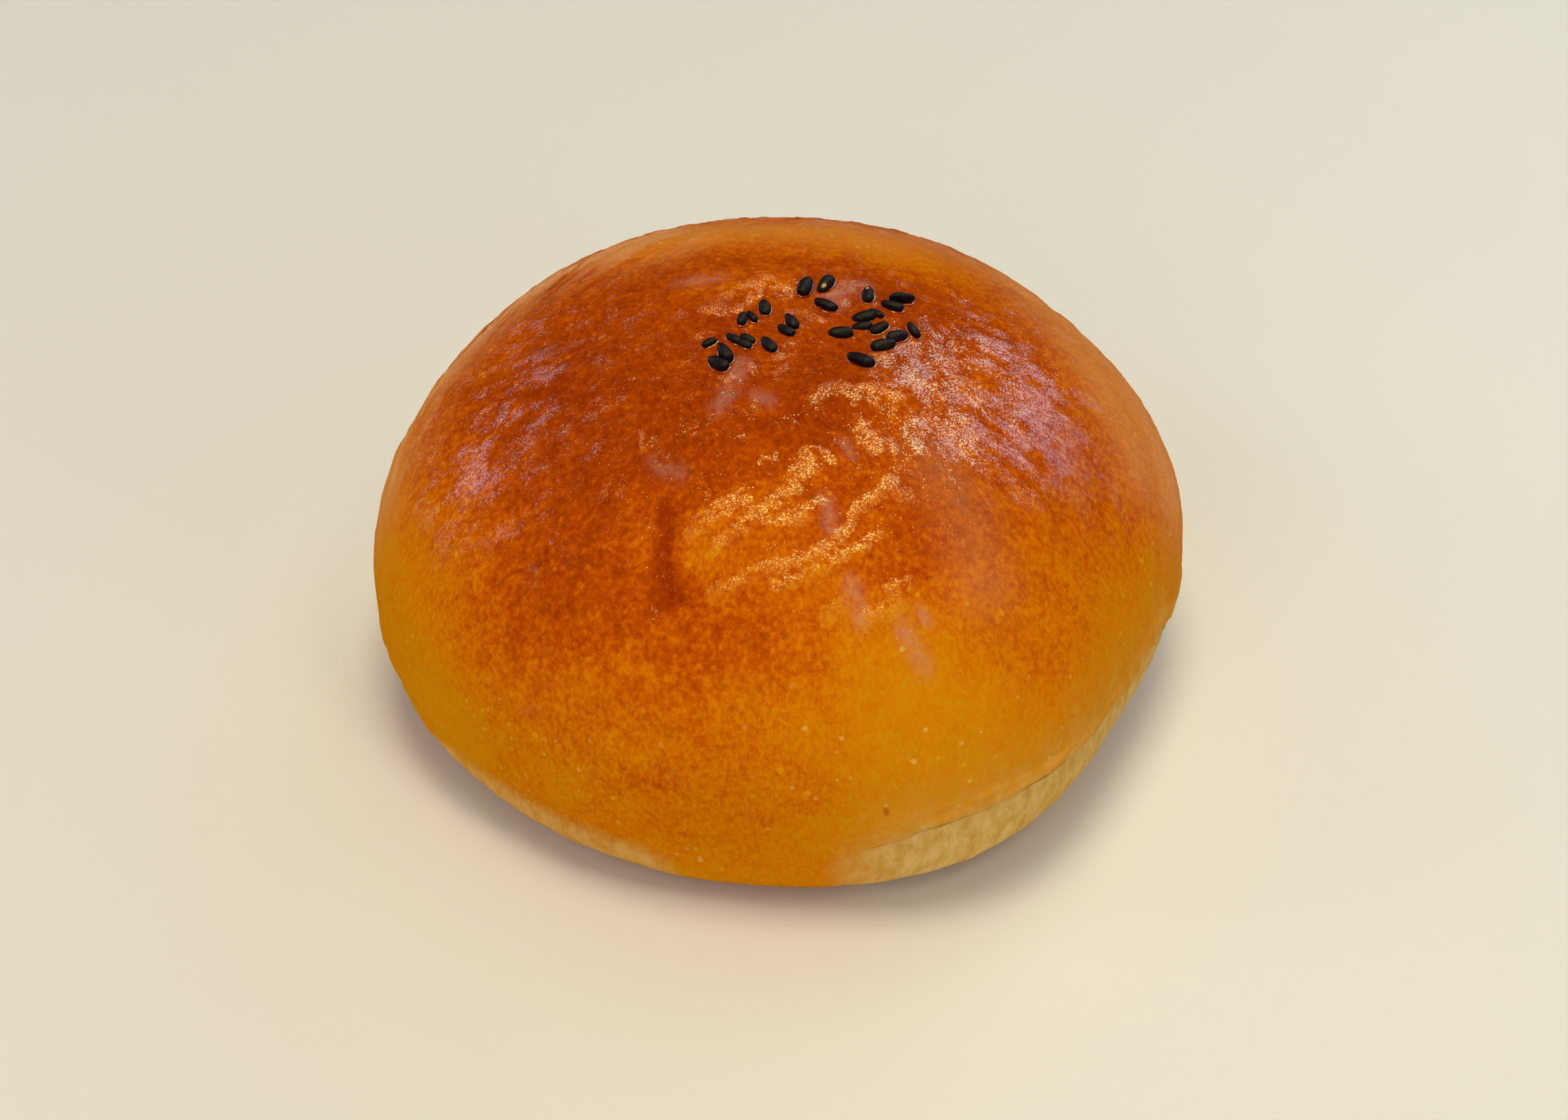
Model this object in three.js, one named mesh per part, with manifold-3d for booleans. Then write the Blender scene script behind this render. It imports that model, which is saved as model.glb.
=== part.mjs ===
// A round glazed bun with black sesame seeds pressed onto its crown.
//
// Millimetres, +Z up. The origin is the centre of the flat foot that the bun rests on, -Y is its front
// and +X its right. The crust is one skin, laid over a grid of directions round the bun and levels down it.
// The seeds are small tapered pips, fused to the crust where they lie.

import * as THREE from "three";
import { ParametricGeometry } from "three/addons/geometries/ParametricGeometry.js";
import { mergeVertices } from "three/addons/utils/BufferGeometryUtils.js";
import Module from "manifold-3d";

// ---- Driving dimensions ----

const belly = { radius: 48, height: 18.5 }; // the widest ring, and how high it lies
const domeRise = 33.5; // from the belly up to the crown
const domePeak = 1.06; // 1 is a plain ellipse, and more draws the shoulders in
const footRadius = 38.2; // the flat that the bun stands on
const footTuck = { middle: -44, span: 24, depth: 5.6 }; // where the foot draws in further, under the front right

// The outline isn't a true circle: each lobe count adds a share of the radius, greatest at its peak angle.
const lobes = [
  { count: 2, share: 0.0074, peak: -66 },
  { count: 3, share: 0.0107, peak: 52 },
  { count: 4, share: 0.0137, peak: 24 },
  { count: 5, share: 0.0064, peak: 3 },
  { count: 6, share: 0.0109, peak: 4 },
  { count: 7, share: 0.0037, peak: -5 },
];

// Where the side sank while it baked, the crust ends in a lip over a paler foot band. Each fold is an arch
// over a stretch of the side: its middle angle, half its span, its rise over the seam and its depth.
const seamHeight = 8;
const folds = [
  { middle: -48, span: 37, rise: 8.0, depth: 1.3 },
  { middle: 8, span: 34, rise: 5.0, depth: 1.5 },
  { middle: 72, span: 32, rise: 3.4, depth: 1.0 },
  { middle: 138, span: 38, rise: 4.6, depth: 1.5 },
  { middle: -152, span: 22, rise: 3.4, depth: 1.4 },
  { middle: -119, span: 12.5, rise: 3.2, depth: 0.9 },
];
const lip = { swell: 0.3, above: 1, reach: 3.2 }; // share of the depth, where it is fullest, its fade
const recess = { edge: 0.7, fade: 2.6 }; // how sharply the fold drops, and how far down it fades
const bandSwell = 0.8; // how far the foot band rounds out between the seam and the foot
const foldOnset = 1.4; // how soon a fold reaches its full depth, counted in from its ends

// The shallow dent that pressing the seeds on left, and the rim that it pushed up.
const stamp = { across: 3, back: -4, radius: 8, depth: 0.8, flat: 1.5, rim: 0.4, rimRadius: 10.8, rimWidth: 3 };

// Soft hollows and ridges of the crust, each a stroke from one place to another seen from above.
const strokes = [
  { from: [-30, 4.5], to: [-9, -6.5], width: 3.4, rise: -0.65 },
  { from: [-12.8, -24], to: [-11.6, -36.5], width: 2.4, rise: -0.6 },
  { from: [2, -17.5], to: [18, -18], width: 2.4, rise: -0.45 },
  { from: [15, -19], to: [20.5, -36], width: 3.0, rise: 0.45 },
  { from: [-16, 19], to: [15, 20], width: 3.0, rise: 0.4 },
];

// A sesame seed of the usual size, and how much of its thickness is sunk into the crust.
const seed = { length: 3.1, width: 1.9, thickness: 1.3, taper: 0.28, sunk: 0.2 };

// Each seed: millimetres right and back of the middle, the angle that its tip points to, its roll about
// its own length, where 0 lies flat and 90 stands on its edge, and its size as a share of the usual one.
const seedPlaces = [
  [2.9, 3.8, 72, 8, 0.98],
  [5.25, 4.2, -120, -8, 0.93],
  [5.3, 0.7, 146, 25, 0.97],
  [10.05, 2.45, 88, 0, 0.84],
  [13.8, 2.2, 22, -44, 1.05],
  [12.7, 0.5, 160, 15, 0.88],
  [-1.8, -0.15, 98, 0, 0.82],
  [-4.3, -2.55, 78, 20, 0.7],
  [-3.2, -1.95, 120, 20, 0.62],
  [1.35, -2.75, 112, 20, 0.86],
  [0.7, -4.35, 138, 10, 0.79],
  [-7.9, -6.55, 25, 25, 0.6],
  [-5.25, -6.15, 140, 10, 0.7],
  [-3.7, -6.1, -30, 15, 0.66],
  [-4.1, -7.05, 148, -10, 0.66],
  [-1.3, -7.0, 118, 0, 0.88],
  [-6.1, -9.1, 108, 42, 1.08],
  [-6.8, -10.6, 136, -8, 0.96],
  [6.9, -4.4, 187, -12, 0.93],
  [9.4, -3.0, 186, 5, 0.76],
  [9.65, -1.35, 194, 0, 0.92],
  [11.0, -0.85, 138, 30, 0.68],
  [11.3, -3.5, 36, 10, 0.78],
  [11.6, -6.75, 18, 15, 0.95],
  [13.1, -5.0, 26, 15, 0.87],
  [14.95, -3.3, 120, 25, 0.8],
  [9.1, -9.5, 144, 25, 1.15],
];

// ---- How finely the skin is divided ----

const around = 108; // directions round the bun
const levels = { dome: 25, flank: 7, band: 7, foot: 2 }; // rows in each stretch, from the crown down
const crowding = { flank: 1.5, band: 1.7 }; // 1 spaces the rows evenly, and more crowds them to the seam
const joint = { crown: 6, side: 4 }; // how soon the relief of each part comes in past the belly
const seedFacets = { around: 7, along: 4 };

// ---- Helpers ----

const degrees = Math.PI / 180;
const clamp01 = (x) => Math.min(1, Math.max(0, x));
const smooth = (x) => clamp01(x) ** 2 * (3 - 2 * clamp01(x));
const bell = (x) => Math.exp(-x * x);

// The turn from one angle to another, in degrees from -180 to 180.
function turnBetween(a, b) {
  return ((((b - a) % 360) + 540) % 360) - 180;
}

// ---- The crust ----

// The foot's radius in the profile, less where the side tucks in.
function footAt(angle) {
  return footRadius - footTuck.depth * bell(turnBetween(footTuck.middle, angle) / footTuck.span);
}

function outlineShare(angle) {
  return lobes.reduce((sum, l) => sum + l.share * Math.cos(l.count * (angle - l.peak) * degrees), 1);
}

// How far into a fold an angle is: 0 at its ends and 1 in the middle.
function within(fold, angle) {
  const share = Math.abs(turnBetween(fold.middle, angle)) / fold.span;
  return Math.max(0, 1 - share ** 3);
}

function seamAt(angle) {
  return folds.reduce((height, fold) => height + fold.rise * within(fold, angle), seamHeight);
}

function foldDepth(angle) {
  return folds.reduce((depth, fold) => depth + fold.depth * smooth(foldOnset * within(fold, angle)), 0);
}

// The smooth profile under the relief: its radius, its height and its outward slope at one level, for
// the seam's height and the foot's radius there.
// Levels run 0 to 1 down the dome, to 2 down the flank to the seam, and to 3 down the band to the foot.
function profileAt(level, seam, foot) {
  if (level <= 1) {
    const tilt = (level * Math.PI) / 2;
    return {
      radius: belly.radius * Math.sin(tilt),
      height: belly.height + domeRise * Math.cos(tilt) ** domePeak,
      out: Math.sin(tilt) / belly.radius,
      up: Math.cos(tilt) / domeRise,
    };
  }
  const overhang = belly.radius - foot;
  const seamTilt = Math.asin((belly.height - seam) / belly.height);
  const bandTilt = Math.PI / 2 - seamTilt;
  const tilt =
    level <= 2
      ? seamTilt * (1 - (2 - level) ** crowding.flank)
      : seamTilt + bandTilt * (level - 2) ** crowding.band;
  return {
    radius: foot + overhang * Math.cos(tilt),
    height: belly.height * (1 - Math.sin(tilt)),
    out: Math.cos(tilt) / overhang,
    up: -Math.sin(tilt) / belly.height,
  };
}

// The stamp's dent, with its rim, in millimetres outwards.
function stampRelief(x, y) {
  const distance = Math.hypot(x - stamp.across, y - stamp.back);
  const dent = smooth(stamp.flat - distance / stamp.radius);
  return stamp.rim * bell((distance - stamp.rimRadius) / stamp.rimWidth) - stamp.depth * dent;
}

// One stroke's rise: a bell across it, which fades past both of its ends.
function strokeRelief(stroke, x, y) {
  const [fromX, fromY] = stroke.from;
  const [alongX, alongY] = [stroke.to[0] - fromX, stroke.to[1] - fromY];
  const length = Math.hypot(alongX, alongY);
  const along = clamp01(((x - fromX) * alongX + (y - fromY) * alongY) / length ** 2);
  const off = Math.hypot(x - fromX - along * alongX, y - fromY - along * alongY);
  return stroke.rise * bell(off / stroke.width);
}

function crownRelief(x, y) {
  return strokes.reduce((sum, stroke) => sum + strokeRelief(stroke, x, y), stampRelief(x, y));
}

// The lip over the seam, and the recess and the rounded band below it.
function sideRelief(angle, height, seam) {
  const depth = foldDepth(angle);
  const over = height - seam;
  if (over >= 0) return depth * lip.swell * bell((over - lip.above) / lip.reach);
  const band = bandSwell * Math.sin((Math.PI * height) / seam);
  return band + depth * (lip.swell - smooth(-over / recess.edge)) * Math.exp(over / recess.fade);
}

// The skin's point at an angle and a level. Levels past 3 run in across the flat foot to its middle.
function skinPoint(angle, level, target) {
  const [dirX, dirY] = [Math.cos(angle * degrees), Math.sin(angle * degrees)];
  const foot = footAt(angle);
  if (level >= 3) {
    const inwards = foot * (4 - level) * outlineShare(angle);
    return target.set(inwards * dirX, inwards * dirY, 0);
  }
  const seam = seamAt(angle);
  const { radius, height, out, up } = profileAt(level, seam, foot);
  const relief =
    level <= 1
      ? crownRelief(radius * dirX, radius * dirY) * smooth(joint.crown * (1 - level))
      : sideRelief(angle, height, seam) * smooth(joint.side * (level - 1));
  const slope = Math.hypot(out, up);
  const reach = radius * outlineShare(angle) + (relief * out) / slope;
  return target.set(reach * dirX, reach * dirY, height + (relief * up) / slope);
}

// The level of a row, counted from the crown down: each stretch of the skin takes one whole level.
function levelOfRow(row) {
  let passed = 0;
  let level = 0;
  for (const count of Object.values(levels)) {
    if (row <= passed + count) return level + (row - passed) / count;
    passed += count;
    level += 1;
  }
  return level;
}

function crustGeometry() {
  const rows = Object.values(levels).reduce((sum, count) => sum + count, 0);
  const skin = (u, v, target) => skinPoint(-360 * u, levelOfRow(v * rows), target);
  return new ParametricGeometry(skin, around, rows);
}

// ---- The seeds ----

// One pip: an ellipsoid that narrows towards its tip, which points along +X.
function seedGeometry() {
  const pip = new THREE.SphereGeometry(0.5, seedFacets.around, seedFacets.along).rotateZ(-Math.PI / 2);
  const place = pip.getAttribute("position");
  for (let i = 0; i < place.count; i++) {
    const along = place.getX(i);
    const narrow = 1 - seed.taper * (along + 0.5);
    place.setXYZ(i, along, place.getY(i) * narrow, place.getZ(i) * narrow);
  }
  return pip.scale(seed.length, seed.width, seed.thickness);
}

// The skin's point and outward direction over a place on the crown, from four places a step away.
const slopeStep = 0.5;

function crownAt(x, y) {
  const at = (px, py) => {
    const angle = Math.atan2(py, px) / degrees;
    const tilt = Math.asin(Math.hypot(px, py) / (belly.radius * outlineShare(angle)));
    return skinPoint(angle, tilt / (Math.PI / 2), new THREE.Vector3());
  };
  const [point, step] = [at(x, y), slopeStep];
  const across = at(x + step, y).sub(at(x - step, y));
  const back = at(x, y + step).sub(at(x, y - step));
  return { point, normal: across.cross(back).normalize() };
}

// A seed's matrix: its length along the heading, its roll about that length, and its centre over the skin.
function seedMatrix([x, y, heading, roll, size]) {
  const { point, normal } = crownAt(x, y);
  const tip = new THREE.Vector3(Math.cos(heading * degrees), Math.sin(heading * degrees), 0);
  const side = normal.clone().cross(tip).normalize();
  tip.crossVectors(side, normal);
  const turned = new THREE.Matrix4().makeBasis(tip, side, normal);
  turned.multiply(new THREE.Matrix4().makeRotationX(roll * degrees));
  turned.scale(new THREE.Vector3(size, size, size));
  const [flat, onEdge] = [Math.cos(roll * degrees), Math.sin(roll * degrees)];
  const stands = size * Math.hypot(flat * seed.thickness, onEdge * seed.width);
  return turned.setPosition(point.addScaledVector(normal, stands * (0.5 - seed.sunk)));
}

// ---- Solids ----

const wasm = await Module();
wasm.setup();

// A closed geometry as a solid, with its shared vertices merged.
function solidOf(geometry) {
  const bare = geometry.clone().deleteAttribute("normal").deleteAttribute("uv");
  const merged = mergeVertices(bare, 1e-4);
  return new wasm.Manifold(
    new wasm.Mesh({
      numProp: 3,
      vertProperties: merged.getAttribute("position").array,
      triVerts: new Uint32Array(merged.index.array),
    }),
  );
}

function geometryOf(solid) {
  const { vertProperties, triVerts } = solid.getMesh();
  const geometry = new THREE.BufferGeometry();
  geometry.setAttribute("position", new THREE.BufferAttribute(vertProperties, 3));
  geometry.setIndex(new THREE.BufferAttribute(triVerts, 1));
  geometry.computeVertexNormals();
  return geometry;
}

// Moves a geometry so that its box is centred over the origin.
function centred(geometry) {
  geometry.computeBoundingBox();
  const { min, max } = geometry.boundingBox;
  return geometry.translate(-(min.x + max.x) / 2, -(min.y + max.y) / 2, 0);
}

function bunSolid() {
  const pip = seedGeometry();
  return seedPlaces.reduce(
    (solid, place) => solid.add(solidOf(pip.clone().applyMatrix4(seedMatrix(place)))),
    solidOf(crustGeometry()),
  );
}

// ---- The object ----

const glazedCrust = new THREE.MeshStandardMaterial({ color: 0xb9621a, roughness: 0.35, metalness: 0 });

const bun = new THREE.Mesh(centred(geometryOf(bunSolid())), glazedCrust);
bun.name = "bun";

const group = new THREE.Group();
group.add(bun);

export default group;
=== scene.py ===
"""Dresses a packed sesame bun: its glazed crust, the pale band at its foot, its seeds and their glaze.

The crust repeats the form of the CAD solid, from the same named sizes in millimetres, and adds the fine
wrinkles and the baked colours. Every piece is worked out as whole arrays of points and then put into a mesh.
"""

import logging
import math
from dataclasses import dataclass, field
from enum import Enum, IntEnum
from itertools import product

import bpy
import numpy as np
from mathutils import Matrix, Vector


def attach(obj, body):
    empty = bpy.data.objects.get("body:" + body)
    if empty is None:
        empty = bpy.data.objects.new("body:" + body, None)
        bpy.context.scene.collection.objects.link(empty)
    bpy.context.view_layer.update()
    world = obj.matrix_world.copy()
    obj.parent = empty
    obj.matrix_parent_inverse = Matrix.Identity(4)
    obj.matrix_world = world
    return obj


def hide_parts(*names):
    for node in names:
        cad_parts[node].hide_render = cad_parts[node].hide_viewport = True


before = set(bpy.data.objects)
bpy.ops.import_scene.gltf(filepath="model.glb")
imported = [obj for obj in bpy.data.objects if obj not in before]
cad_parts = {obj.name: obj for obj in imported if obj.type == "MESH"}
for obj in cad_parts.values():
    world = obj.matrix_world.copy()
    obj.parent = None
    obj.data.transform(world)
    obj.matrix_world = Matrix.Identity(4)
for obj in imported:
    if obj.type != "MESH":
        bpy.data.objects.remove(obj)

Array = np.ndarray
Place = tuple[float, ...]
Colour = tuple[float, float, float]
Edge = tuple[float, float]

BUN_NODE = "bun"
ROOT_BODY = "root"
SCAR = "scar"
MM = 0.001
FRAME_WIDTH, FRAME_HEIGHT = 2274, 1624
TINY = 1e-12

KEY_COLOUR: Colour = (1.0, 0.79, 0.52)
GLINT_COLOUR: Colour = (0.90, 1.0, 0.31)
WINDOW_COLOUR: Colour = (0.62, 0.80, 1.0)
WARM_COLOUR: Colour = (1.0, 0.93, 0.80)

log = logging.getLogger("bun")


# ---- Small shapes of number ----


def smooth(x: Array) -> Array:
    """An ease from 0 to 1 as x goes from 0 to 1: three x squared less two x cubed."""
    x = np.clip(x, 0.0, 1.0)
    return x * x * (3.0 - 2.0 * x)


def bell(x: Array) -> Array:
    """A bell of height 1 at x = 0: e to the power of minus x squared."""
    return np.exp(-x * x)


def turn_between(a: float, b: Array) -> Array:
    """The turn from angle a to angle b in degrees, between -180 and 180."""
    return (b - a + 180.0) % 360.0 - 180.0


def unit(vectors: Array) -> Array:
    """Vectors along the last axis, each divided by its own length."""
    return vectors / (np.linalg.norm(vectors, axis=-1, keepdims=True) + TINY)


def on_plane(a: Array, b: Array) -> Array:
    """Places with the two given parts, and nothing along the third."""
    return np.stack([a, b, 0 * a], -1)


def terraced(x: Array, edge: float) -> Array:
    """Flat steps one unit high: the whole part of x, plus an ease in the last share of each step."""
    whole = np.floor(x)
    return whole + smooth((x - whole - 1.0 + edge) / edge)


class Draw(IntEnum):
    """The seed of each grain, so that every run draws the same one."""

    CLOUDS = 3
    COARSE = 5
    EDGE = 9
    FINE = 11
    SEAM = 13
    WRINKLE = 20
    PAINTED_HAZE = 31
    PIP = 100
    RIM = 200


class Grain:
    """Smooth noise in three dimensions, which is the same on every run."""

    CELLS = 256
    SWING = 1.7
    LAYER_STEP = 17.0

    def __init__(self, seed: int) -> None:
        """Draws the lattice's slopes.

        Args:
            seed: picks one grain out of many.
        """
        rng = np.random.default_rng(seed)
        self.order = rng.permutation(self.CELLS)
        self.slopes = unit(rng.normal(size=(self.CELLS, 3)))

    def at(self, points: Array) -> Array:
        """The noise at each point, from about -1 to 1, with features about one unit across.

        Each corner of a point's lattice cell has a slope. The noise is the sum of the slopes' rises at the
        point, each weighted by an ease that falls to nothing at the opposite corner.

        Args:
            points: places along the last axis.

        Returns:
            One value a point.
        """
        cell = np.floor(points).astype(int)
        part = points - cell
        ease = part**3 * (part * (part * 6.0 - 15.0) + 10.0)
        total = np.zeros(points.shape[:-1])
        last = self.CELLS - 1
        for corner in product((0, 1), repeat=3):
            at = np.array(corner)
            x, y, z = np.moveaxis(cell + at, -1, 0)
            key = self.order[(self.order[(self.order[x & last] + y) & last] + z) & last]
            rise = (self.slopes[key] * (part - at)).sum(-1)
            total += rise * np.where(at, ease, 1.0 - ease).prod(-1)
        return self.SWING * total

    def layered(self, points: Array, layers: int = 3) -> Array:
        """Layers of the noise, each at twice the fineness and half the height of the one before."""
        weights = [0.5**n for n in range(layers)]
        total = sum(w * self.at(points * 2.0**n + self.LAYER_STEP * n) for n, w in enumerate(weights))
        return total / sum(weights)


# ---- The form of the bun, in millimetres ----


@dataclass(frozen=True)
class Lobe:
    """One even swing of the outline: its count round the bun, its share of the radius, its peak's angle."""

    count: int
    share: float
    peak: float


@dataclass(frozen=True)
class Fold:
    """An arch of the seam over the foot band: middle angle, half span, rise, depth, and paleness under it."""

    middle: float
    span: float
    rise: float
    depth: float
    pale: float

    def within(self, angle: Array) -> Array:
        """How far into the fold each angle is: 0 at its ends and 1 in the middle, by a cubic arch."""
        share = np.abs(turn_between(self.middle, angle)) / self.span
        return np.maximum(0.0, 1.0 - share**3)


@dataclass(frozen=True)
class Stroke:
    """A soft ridge or hollow of the crust along a line of places: its width, and its rise in the middle.

    The places have two parts where the stroke is seen from above, on the crown, and three on the flank.
    """

    line: tuple[Place, ...]
    width: float
    rise: float

    def closeness(self, points: Array) -> Array:
        """A bell over the distance from each point to the nearest stretch of the line, 1 on the line."""
        line = np.array(self.line)
        here = points[..., : line.shape[1]]
        nearest = np.full(here.shape[:-1], np.inf)
        for start, end in zip(line[:-1], line[1:]):
            way = end - start
            along = np.clip((here - start) @ way / (way @ way), 0.0, 1.0)
            nearest = np.minimum(nearest, np.linalg.norm(here - start - along[..., None] * way, axis=-1))
        return bell(nearest / self.width)


def strokes(*rows: tuple) -> tuple[Stroke, ...]:
    """Strokes from rows of a width, a rise, and the places along the line."""
    return tuple(Stroke(tuple(line), width, rise) for width, rise, *line in rows)


def summed(drawn: tuple[Stroke, ...], points: Array) -> Array:
    """Every stroke's rise, each by its own closeness, added up."""
    return sum(stroke.rise * stroke.closeness(points) for stroke in drawn)


def strongest(drawn: tuple[Stroke, ...], points: Array) -> Array:
    """The most that any one stroke gives each point: its rise by its closeness."""
    return np.max([stroke.rise * stroke.closeness(points) for stroke in drawn], axis=0)


@dataclass(frozen=True)
class Stamp:
    """The shallow dent that pressing the seeds on left in the crown, and the rim round it."""

    across: float = 3.0
    back: float = -4.0
    radius: float = 8.0
    wall: float = 1.5
    depth: float = 0.8
    rim: float = 0.4
    rim_radius: float = 10.8
    rim_width: float = 3.0

    def relief(self, x: Array, y: Array) -> Array:
        """The rim's bell less the dent's eased floor, by distance from the stamp's middle."""
        distance = np.hypot(x - self.across, y - self.back)
        dent = smooth(self.wall - distance / self.radius)
        return self.rim * bell((distance - self.rim_radius) / self.rim_width) - self.depth * dent


@dataclass(frozen=True)
class Profile:
    """The bun's upright section at given levels: radius, height and outward slope, as arrays."""

    radius: Array
    height: Array
    out: Array
    up: Array


@dataclass
class Form:
    """The form that the crust shares with the CAD solid.

    A place on it is an angle round the bun and a level down it. Levels run 0 to 1 down the dome, to 2 down
    the flank to the seam, to 3 down the band to the foot, and to 4 in across the flat foot. Hollows are the
    broad dips and swells of the crown.
    """

    belly_radius: float = 48.0
    belly_height: float = 18.5
    dome_rise: float = 33.5
    dome_peak: float = 1.06
    foot_radius: float = 38.2
    tuck_middle: float = -44.0
    tuck_span: float = 24.0
    tuck_depth: float = 5.6
    lobes: tuple[Lobe, ...] = (
        Lobe(2, 0.0074, -66),
        Lobe(3, 0.0107, 52),
        Lobe(4, 0.0137, 24),
        Lobe(5, 0.0064, 3),
        Lobe(6, 0.0109, 4),
        Lobe(7, 0.0037, -5),
    )
    seam_height: float = 8.0
    folds: tuple[Fold, ...] = (
        Fold(-48, 37, 8.0, 1.3, 1.0),
        Fold(8, 34, 5.0, 1.5, 0.9),
        Fold(72, 32, 3.4, 1.0, 0.8),
        Fold(138, 38, 4.6, 1.5, 0.9),
        # The two folds at the front left have no paleness of their own. Their dough is painted darker there
        # as shade, and the rolls give back a dimmer pale skin.
        Fold(-152, 22, 3.4, 1.4, 0.0),
        Fold(-119, 12.5, 3.2, 0.9, 0.0),
    )
    fold_onset: float = 1.4
    lip_swell: float = 0.3
    lip_above: float = 1.0
    lip_reach: float = 3.2
    recess_edge: float = 0.7
    recess_fade: float = 2.6
    band_swell: float = 0.8
    waver: float = 0.9
    waver_pitch: float = 7.0
    stamp: Stamp = field(default_factory=Stamp)
    hollows: tuple[Stroke, ...] = strokes(
        (3.4, -0.65, (-30, 4.5), (-9, -6.5)), (2.4, -0.6, (-12.8, -24), (-11.6, -36.5)),
        (2.4, -0.45, (2, -17.5), (18, -18)), (3, 0.45, (15, -19), (20.5, -36)),
        (3, 0.4, (-16, 19), (15, 20)),
    )
    flank_crowding: float = 1.5
    band_crowding: float = 1.7
    crown_joint: float = 6.0
    side_joint: float = 4.0

    def outline(self, angle: Array) -> Array:
        """The outline's share of the plain radius: one plus every lobe's swing."""
        swings = (l.share * np.cos(np.radians(l.count * (angle - l.peak))) for l in self.lobes)
        return 1.0 + sum(swings)

    def seam(self, angle: Array) -> Array:
        """The seam's height: its lowest height plus each fold's arch, with a waver of noise round the bun."""
        turn = np.radians(angle)
        ring = on_plane(np.cos(turn), np.sin(turn)) * self.belly_radius / self.waver_pitch
        wavers = self.waver * Grain(Draw.SEAM).layered(ring, 3)
        return self.seam_height + wavers + sum(f.rise * f.within(angle) for f in self.folds)

    def fold_depth(self, angle: Array) -> Array:
        """How deep the fold is: each fold's depth, eased in from its ends."""
        return sum(f.depth * smooth(self.fold_onset * f.within(angle)) for f in self.folds)

    def paleness(self, angle: Array) -> Array:
        """How pale the dough is under the seam: each fold's paleness, eased in from its ends."""
        return sum(f.pale * smooth(self.fold_onset * f.within(angle)) for f in self.folds)

    def foot(self, angle: Array) -> Array:
        """The foot's radius in the section: less by a bell where the side tucks in, under the front right."""
        tuck = bell(turn_between(self.tuck_middle, angle) / self.tuck_span)
        return self.foot_radius - self.tuck_depth * tuck

    def profile(self, level: Array, seam: Array, foot: Array) -> Profile:
        """The smooth section under the relief.

        The dome is a quarter of an ellipse that is slightly peaked, and the side below it another quarter
        that draws in to the foot. Rows crowd to the seam on both sides of it.

        Args:
            level: levels from 0 to 3.
            seam: the seam's height at each of them.
            foot: the foot's radius at each of them.

        Returns:
            The section's arrays.
        """
        overhang = self.belly_radius - foot
        tilt = np.clip(level, 0.0, 1.0) * math.pi / 2
        fall = np.maximum(np.cos(tilt), 0.0)
        seam_tilt = np.arcsin((self.belly_height - seam) / self.belly_height)
        flank = seam_tilt * (1.0 - np.clip(2.0 - level, 0.0, 1.0) ** self.flank_crowding)
        band = (math.pi / 2 - seam_tilt) * np.clip(level - 2.0, 0.0, 1.0) ** self.band_crowding
        side = flank + band
        above = level <= 1.0
        return Profile(
            radius=np.where(above, self.belly_radius * np.sin(tilt), foot + overhang * np.cos(side)),
            height=np.where(
                above,
                self.belly_height + self.dome_rise * fall**self.dome_peak,
                self.belly_height * (1.0 - np.sin(side)),
            ),
            out=np.where(above, np.sin(tilt) / self.belly_radius, np.cos(side) / overhang),
            up=np.where(above, fall / self.dome_rise, -np.sin(side) / self.belly_height),
        )

    def crown_relief(self, x: Array, y: Array) -> Array:
        """The stamp's relief plus every hollow's."""
        places = np.stack([x, y], -1)
        return self.stamp.relief(x, y) + summed(self.hollows, places)

    def side_relief(self, angle: Array, height: Array, seam: Array) -> Array:
        """The lip over the seam, a bell up from it, and below it the recess and the rounded band."""
        depth = self.fold_depth(angle)
        over = height - seam
        lip = depth * self.lip_swell * bell((over - self.lip_above) / self.lip_reach)
        sunk = self.lip_swell - smooth(-over / self.recess_edge)
        recess = depth * sunk * np.exp(np.minimum(over, 0.0) / self.recess_fade)
        band = self.band_swell * np.sin(math.pi * np.clip(height / seam, 0.0, 1.0))
        return np.where(over >= 0.0, lip, band + recess)

    def surface(self, angle: Array, level: Array) -> Array:
        """The skin's points: the section turned to each angle, swung by the lobes, with its relief outwards.

        Args:
            angle: degrees round the bun.
            level: levels down it, from 0 to 4.

        Returns:
            Points along a last axis of three.
        """
        angle, level = np.broadcast_arrays(angle, level)
        way = np.stack([np.cos(np.radians(angle)), np.sin(np.radians(angle))], -1)
        seam = self.seam(angle)
        foot = self.foot(angle)
        section = self.profile(level, seam, foot)
        x, y = section.radius * way[..., 0], section.radius * way[..., 1]
        crown = self.crown_relief(x, y) * smooth(self.crown_joint * (1.0 - level))
        side = self.side_relief(angle, section.height, seam) * smooth(self.side_joint * (level - 1.0))
        relief = np.where(level <= 1.0, crown, side)
        slope = np.hypot(section.out, section.up)
        reach = section.radius * self.outline(angle) + relief * section.out / slope
        height = section.height + relief * section.up / slope
        under = level >= 3.0
        reach = np.where(under, foot * (4.0 - level) * self.outline(angle), reach)
        height = np.where(under, 0.0, height)
        return np.concatenate([reach[..., None] * way, height[..., None]], -1)

    def crown_points(self, x: Array, y: Array) -> Array:
        """The skin's points over places on the crown, whose distance from the middle gives the level."""
        angle = np.degrees(np.arctan2(y, x))
        share = np.hypot(x, y) / (self.belly_radius * self.outline(angle))
        return self.surface(angle, np.arcsin(np.clip(share, 0.0, 1.0)) / (math.pi / 2))


# ---- Meshes ----


def grid_quads(rows: int, columns: int, wrap: bool) -> Array:
    """The corner numbers of the faces between the points of a grid.

    Args:
        rows: how many rows of points.
        columns: how many points in a row.
        wrap: whether the last column joins the first.

    Returns:
        Four corner numbers a face.
    """
    row = np.arange(rows - 1)[:, None]
    column = np.arange(columns if wrap else columns - 1)[None, :]
    beside = (column + 1) % columns
    corners = [row * columns + column, row * columns + beside]
    corners += [(row + 1) * columns + beside, (row + 1) * columns + column]
    return np.stack(np.broadcast_arrays(*corners), -1).reshape(-1, 4)


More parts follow.
